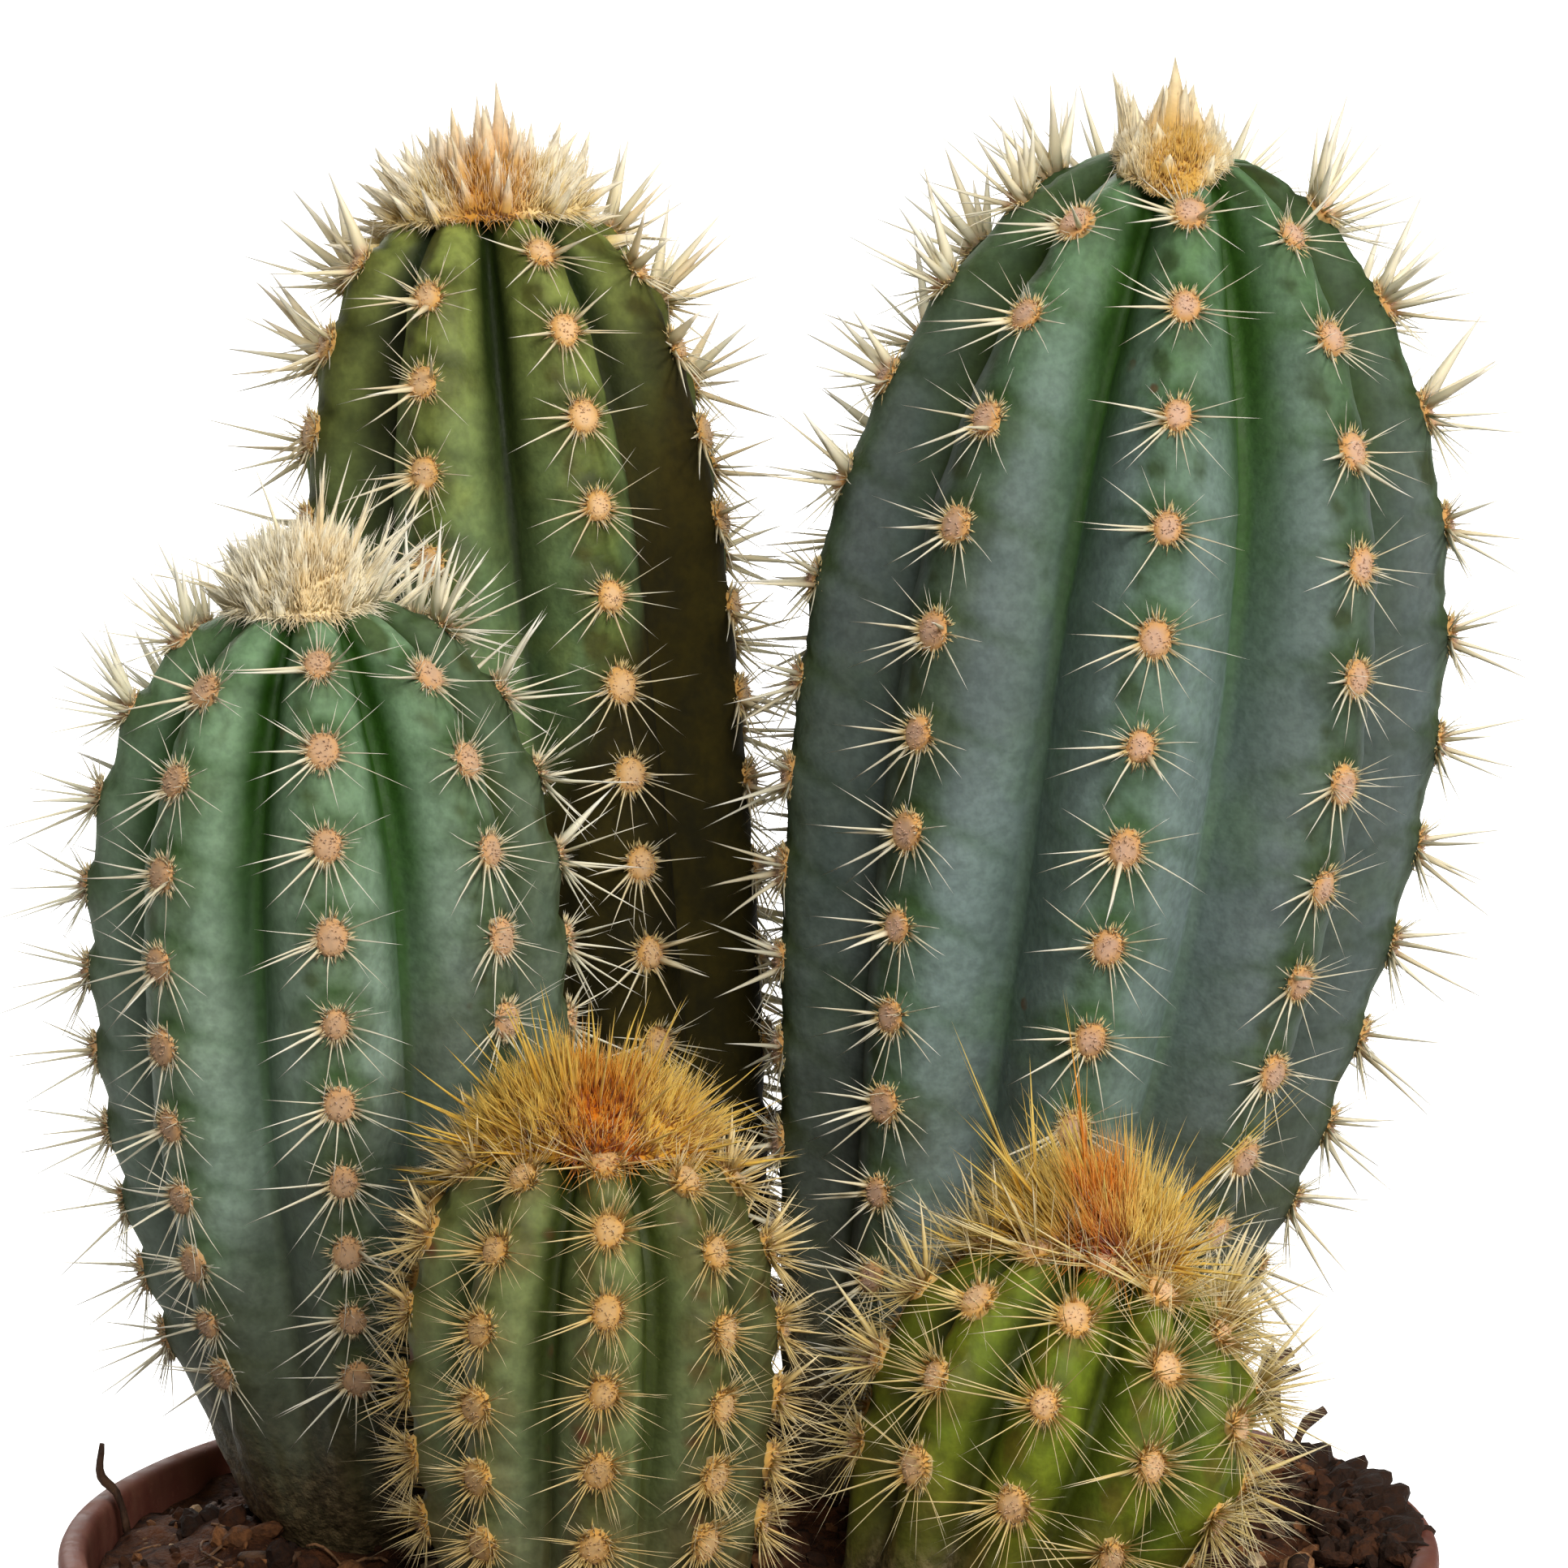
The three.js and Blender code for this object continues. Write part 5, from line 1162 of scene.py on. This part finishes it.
def make_soil():
    draw = np.random.default_rng(900)
    sides, hole_sides = 160, 56
    outer = ring_of(SOIL_EDGE, sides)
    holes = [hole_ring(stem, hole_sides, SKIN_ROOM) for stem in stems.values()]
    xy, faces = fill_plate(outer, holes, 1.25, draw)
    z = soil_top(xy)
    z[:sides] = soil_height(*outer.T)
    points = [np.column_stack([xy, z])]
    count = len(xy)
    batch = Batch()
    quads, fans = [], [faces]
    below = [ring_of(r, sides, height) for r, height in SOIL_RINGS]
    above = np.arange(sides)
    for ring in below:
        here = count + np.arange(sides)
        quads.append(np.stack([above, here, np.roll(here, -1), np.roll(above, -1)], -1))
        points.append(ring)
        above, count = here, count + sides
    points.append([[0, 0, SOIL_RINGS[-1][1]]])
    fans.append(fan_faces(count, above, True))
    count += 1
    for number, stem in enumerate(stems.values()):
        above = sides + number * hole_sides + np.arange(hole_sides)
        for part in (0.3, 1):
            ring = ring_of(stem.foot_width(part) + FOOT_ROOM, hole_sides, 0.0) + stem.controls[0]
            ring = ring - [0, 0, (FOOT_DEPTH + FOOT_ROOM) * part]
            here = count + np.arange(hole_sides)
            quads.append(np.stack([np.roll(above, -1), np.roll(here, -1), here, above], -1))
            points.append(ring)
            above, count = here, count + hole_sides
        points.append([stem.controls[0] - [0, 0, FOOT_DEPTH + FOOT_ROOM]])
        fans.append(fan_faces(count, above))
        count += 1
    batch.add(np.concatenate(points), np.concatenate(quads), np.concatenate(fans))
    batch.make("soil_bed", soil_look(), "soil", "soil")

    # crumbs, grit and chips of bark
    small, large = ico(0), ico(1)
    batch = Batch("tint")
    spots = draw.uniform(-56, 56, (4200, 2))
    for number, xy in enumerate(spots[clear_of_stems(spots, 0.6)][:CRUMBS]):
        big = number % 5 == 0
        size = draw.uniform(0.9, 2.0) if big else draw.uniform(0.35, 0.95)
        if not clear_of_stems(xy[None], size)[0]:
            continue
        ball, faces = large if big else small
        scale = size * np.array([1, draw.uniform(0.55, 0.95), draw.uniform(0.35, 0.8)])
        place = [*xy, soil_top(xy[None])[0] + 0.15 * size]
        batch.add(crumb(draw, ball, scale, 0.28, number * 7.3, 3) + place, faces,
                  tint=draw.uniform(0, 1) ** (1.6 if big else 1.1))
    # a bank of dark crumbs that has spilled on to the rim, to the right at the back
    turn = np.radians(np.linspace(*BANK["turn"], 80))
    level = BANK["level"] + BANK["rise"] * np.sin(np.linspace(0, np.pi, 80))
    line = np.stack([BANK["out"] * np.cos(turn), BANK["out"] * np.sin(turn), level], -1)
    sweep(batch, line, BANK["thick"], BANK["wide"], 333, sides=24, rough=0.15, grain=1.5, tint=0.1)
    for number, turn in enumerate(np.radians(draw.uniform(*SPILL["turn"], SPILL["many"]))):
        away = draw.uniform(*SPILL["out"])
        size = 0.3 + 1.2 * draw.uniform(0, 1) ** 2.6 * min((POT["rim"] - away) / 4, 1)
        along = np.clip((np.degrees(turn) + 6) / 40, 0, 1)
        high = SPILL["level"] + SPILL["rise"] * np.sin((away - 50.5) / 8.8 * np.pi) * np.sin(along * np.pi)
        ball, faces = large if size > 0.9 else small
        place = [away * np.cos(turn), away * np.sin(turn), high + 0.3 * size]
        batch.add(crumb(draw, ball, size * np.array([1, 0.75, 0.5]), 0.3, number * 5.1, 4) + place, faces,
                  tint=draw.uniform(0, 0.36))
    batch.make("soil_crumbs", bits_look(), "soil", "soil", flat=True)

    # sticks, bark and fibres
    batch = Batch("tint")
    for number, (route, thick, wide) in enumerate(DEBRIS):
        path = curve_through(route, 12)
        sweep(batch, path, thick, wide, 40 + number, rough=0.2, tint=draw.uniform(0, 0.3))
    chips = draw.uniform(-52, 52, (300, 2))
    for number, xy in enumerate(chips[clear_of_stems(chips, 4.5)][:CHIPS]):
        heading = draw.uniform(0, 2 * np.pi)
        half = draw.uniform(1.4, 3.4)
        way = np.array([np.cos(heading), np.sin(heading)])
        line = xy + way * np.linspace(-half, half, 7)[:, None]
        z = soil_top(line).mean() + 0.35 + np.linspace(-0.5, 0.5, 7) * draw.uniform(-1, 1)
        sweep(batch, np.column_stack([line, z]), draw.uniform(0.5, 0.9), draw.uniform(0.9, 2), 80 + number,
              sides=7, rough=0.16, tint=draw.uniform(0, 0.9))
    fibres = draw.uniform(-53, 53, (420, 2))
    for number, xy in enumerate(fibres[clear_of_stems(fibres, 4)][:FIBRES]):
        heading, curl = draw.uniform(0, 2 * np.pi), draw.uniform(-0.28, 0.28)
        steps = int(draw.uniform(7, 15))
        turn = heading + curl * np.arange(steps)
        line = xy + np.cumsum(np.stack([np.cos(turn), np.sin(turn)], -1) * 0.75, 0)
        line = line[clear_of_stems(line, 1.2)]
        if len(line) < 4 or np.hypot(*np.diff(line, axis=0).T).max() > 1.2:
            continue
        z = soil_top(line) + 0.25 + 0.5 * np.sin(np.linspace(0, np.pi, len(line))) * draw.uniform(0, 1.6)
        thin = draw.uniform(0.2, 0.42)
        sweep(batch, np.column_stack([line, z]), thin, thin, 200 + number, sides=5, rough=0.06,
              tint=draw.uniform(0.4, 1))
    batch.make("soil_sticks", wood_look(), "soil", "soil")


make_soil()


# ---- the pot ----
def pot_look():
    look = Look("brown_plastic", 0.6, Specular_IOR_Level=0.25)
    broad, medium, fine = look.noise(30, 3, 0.55), look.noise(5, 4, 0.6), look.noise(0.7, 3, 0.6)
    scuff = look.noise(3, 5, 0.7, (1, 1, 0.25))
    base = look.mix(look.band(broad, 0.35, 0.65), "66382e", "784438")
    base = look.over(base, "8a5646", medium, 0.4, 0.66, 0.35)
    base = look.over(base, "966454", fine, 0.55, 0.75, 0.3)
    dust = look.times(look.band(look.value("dusty"), 0.1, 1.0), look.band(scuff, 0.44, 0.62))
    base = look.mix(look.times(dust, 0.4), base, "86624c")
    rough = look.math("ADD", look.band(medium, 0.35, 0.65, 0.52, 0.66), look.times(dust, 0.3))
    return look.finish(base, rough, look.bump(fine, 0.25, 0.12, look.bump(medium, 0.2, 0.4)))


def make_pot():
    """A moulded shell with a rounded lip and a collar, and drain holes through its floor."""
    rim, height, wall = POT["rim"], POT["height"], POT["wall"]
    under = height - POT["collar"]
    wall_top = rim - POT["step"] - 0.8
    side_run = [(POT["base"] + (wall_top - POT["base"]) * t, POT["foot_ring"] + (under - 1.2) * t)
                for t in np.linspace(0, 1, 9)]
    profile = [
        (POT["base"] - 0.9, 0.0), (POT["base"] - 0.35, 0.15), (POT["base"] - 0.08, 0.6), *side_run[:-1],
        (wall_top - 0.05, under - 0.9), (wall_top + 0.1, under - 0.25), (wall_top + 0.45, under),
        (rim - 0.75, under), (rim - 0.5, under + 0.12), (rim - 0.42, under + 0.45),
        (rim - 0.3, under + 4), (rim - 0.12, height - 2.6), (rim, height - 1.3),
        (rim - 0.06, height - 0.75), (rim - 0.3, height - 0.28), (rim - 0.72, height - 0.05),
        (rim - 1.25, height), (INNER + 0.75, height - 0.04), (INNER + 0.3, height - 0.22),
        (INNER + 0.05, height - 0.6), (INNER - 0.1, height - 1.4), (wall_top - wall + 0.2, under + 1),
        (wall_top - wall, under - 1),
        *[(r - wall, z) for r, z in side_run[-2:0:-1]],
        (POT["base"] - wall + 0.2, POT["floor"] + 1), (POT["base"] - wall, POT["floor"]),
    ]
    profile = np.array(profile)[::-1]
    sides = 168
    turn = 2 * np.pi * np.arange(sides) / sides
    r, z = profile.T
    levels = np.broadcast_to(z[:, None, None], (len(r), sides, 1))
    shell = np.concatenate([ring_of(1, sides) * r[:, None, None], levels], -1)
    uneven = 1 + 0.0016 * np.sin(3 * turn + 0.6) + 0.001 * np.sin(5 * turn + 2)
    lip = smooth((z - 60) / 30)[:, None]
    shell[..., :2] *= (1 + (uneven - 1) * lip * 0.6)[..., None]
    rows = len(r)
    batch = Batch("dusty")
    hole_sides = 28
    turn = 2 * np.pi * (np.arange(POT["drains"]) + 0.5) / POT["drains"]
    centres = POT["drain_circle"] * np.stack([np.cos(turn), np.sin(turn)], -1)
    holes = [ring_of(POT["drain_radius"], hole_sides) + centre for centre in centres]
    draw = np.random.default_rng(77)
    points, count = [shell.reshape(-1, 3)], rows * sides
    quads = [grid_faces(rows, sides)]
    tris, plates = [], []
    for row in (0, rows - 1):
        xy, faces = fill_plate(ring_of(r[row], sides), holes, 6.0, draw)
        inner = len(xy) - sides
        ids = np.concatenate([row * sides + np.arange(sides), count + np.arange(inner)])
        points.append(np.column_stack([xy[sides:], np.full(inner, z[row])]))
        count += inner
        tris.append(ids[faces] if z[row] > 1 else np.flip(ids[faces], 1))
        plates.append(ids[sides:sides + len(holes) * hole_sides].reshape(len(holes), hole_sides))
    for top, low in zip(*plates):
        quads.append(np.stack([top, np.roll(top, -1), np.roll(low, -1), low], -1))
    points = np.concatenate(points)
    dusty = np.clip(smooth((points[:, 2] - 88) / 7) * 0.6 + smooth((6 - points[:, 2]) / 6) * 0.7, 0, 1)
    batch.add(points, np.concatenate(quads), np.concatenate(tris), dusty=dusty)
    batch.make("pot_shell", pot_look(), "pot", "pot")


make_pot()


# ---- the floor, the light and the camera ----
def make_stage():
    mesh = bpy.data.meshes.new("floor")
    w = 8.0
    mesh.from_pydata([(-w, -w, 0), (w, -w, 0), (w, w, 0), (-w, w, 0)], [], [(0, 1, 2, 3)])
    floor = bpy.data.objects.new("floor", mesh)
    bpy.context.scene.collection.objects.link(floor)
    look = Look("pale_floor", 0.9, Specular_IOR_Level=0.1)
    look.shader.inputs["Emission Color"].default_value = (1, 1, 1, 1)
    look.shader.inputs["Emission Strength"].default_value = 0.9
    mesh.materials.append(look.finish(look.mix(look.noise(400), "f2f2f2", "f7f7f7")))
    floor.visible_diffuse = False


def add_light(name, place, aim, size, power, tone):
    data = bpy.data.lights.new(name, "AREA")
    data.shape, data.size, data.energy, data.color = "DISK", size, power, tone
    light = bpy.data.objects.new(name, data)
    light.location = place
    light.rotation_euler = (Vector(aim) - Vector(place)).to_track_quat("-Z", "Y").to_euler()
    bpy.context.scene.collection.objects.link(light)


def make_studio():
    world = bpy.data.worlds.new("studio")
    bpy.context.scene.world = world
    world.use_nodes = True
    back = world.node_tree.nodes["Background"]
    back.inputs["Color"].default_value = (1, 0.955, 0.88, 1)
    back.inputs["Strength"].default_value = 0.11
    middle = (0, 0, 0.14)
    add_light("key", (1.24, -0.94, 1.05), middle, 0.5, 18, (1, 0.97, 0.91))
    add_light("front", (0.3, -1.62, 1.2), middle, 0.8, 26, (1, 0.98, 0.93))
    add_light("back", (-0.5, 1.5, 1.1), middle, 1.2, 24, (1, 0.99, 0.96))
    camera = bpy.data.objects.new("camera", bpy.data.cameras.new("camera"))
    camera.data.lens, camera.data.sensor_width = 236.837, 36
    camera.location = (0.003001, -0.870128, 0.32495)
    camera.rotation_euler = (math.radians(90 - 10.632), 0, 0)
    bpy.context.scene.collection.objects.link(camera)
    bpy.context.scene.camera = camera
    bpy.context.scene.view_settings.view_transform = "Standard"


make_stage()
make_studio()
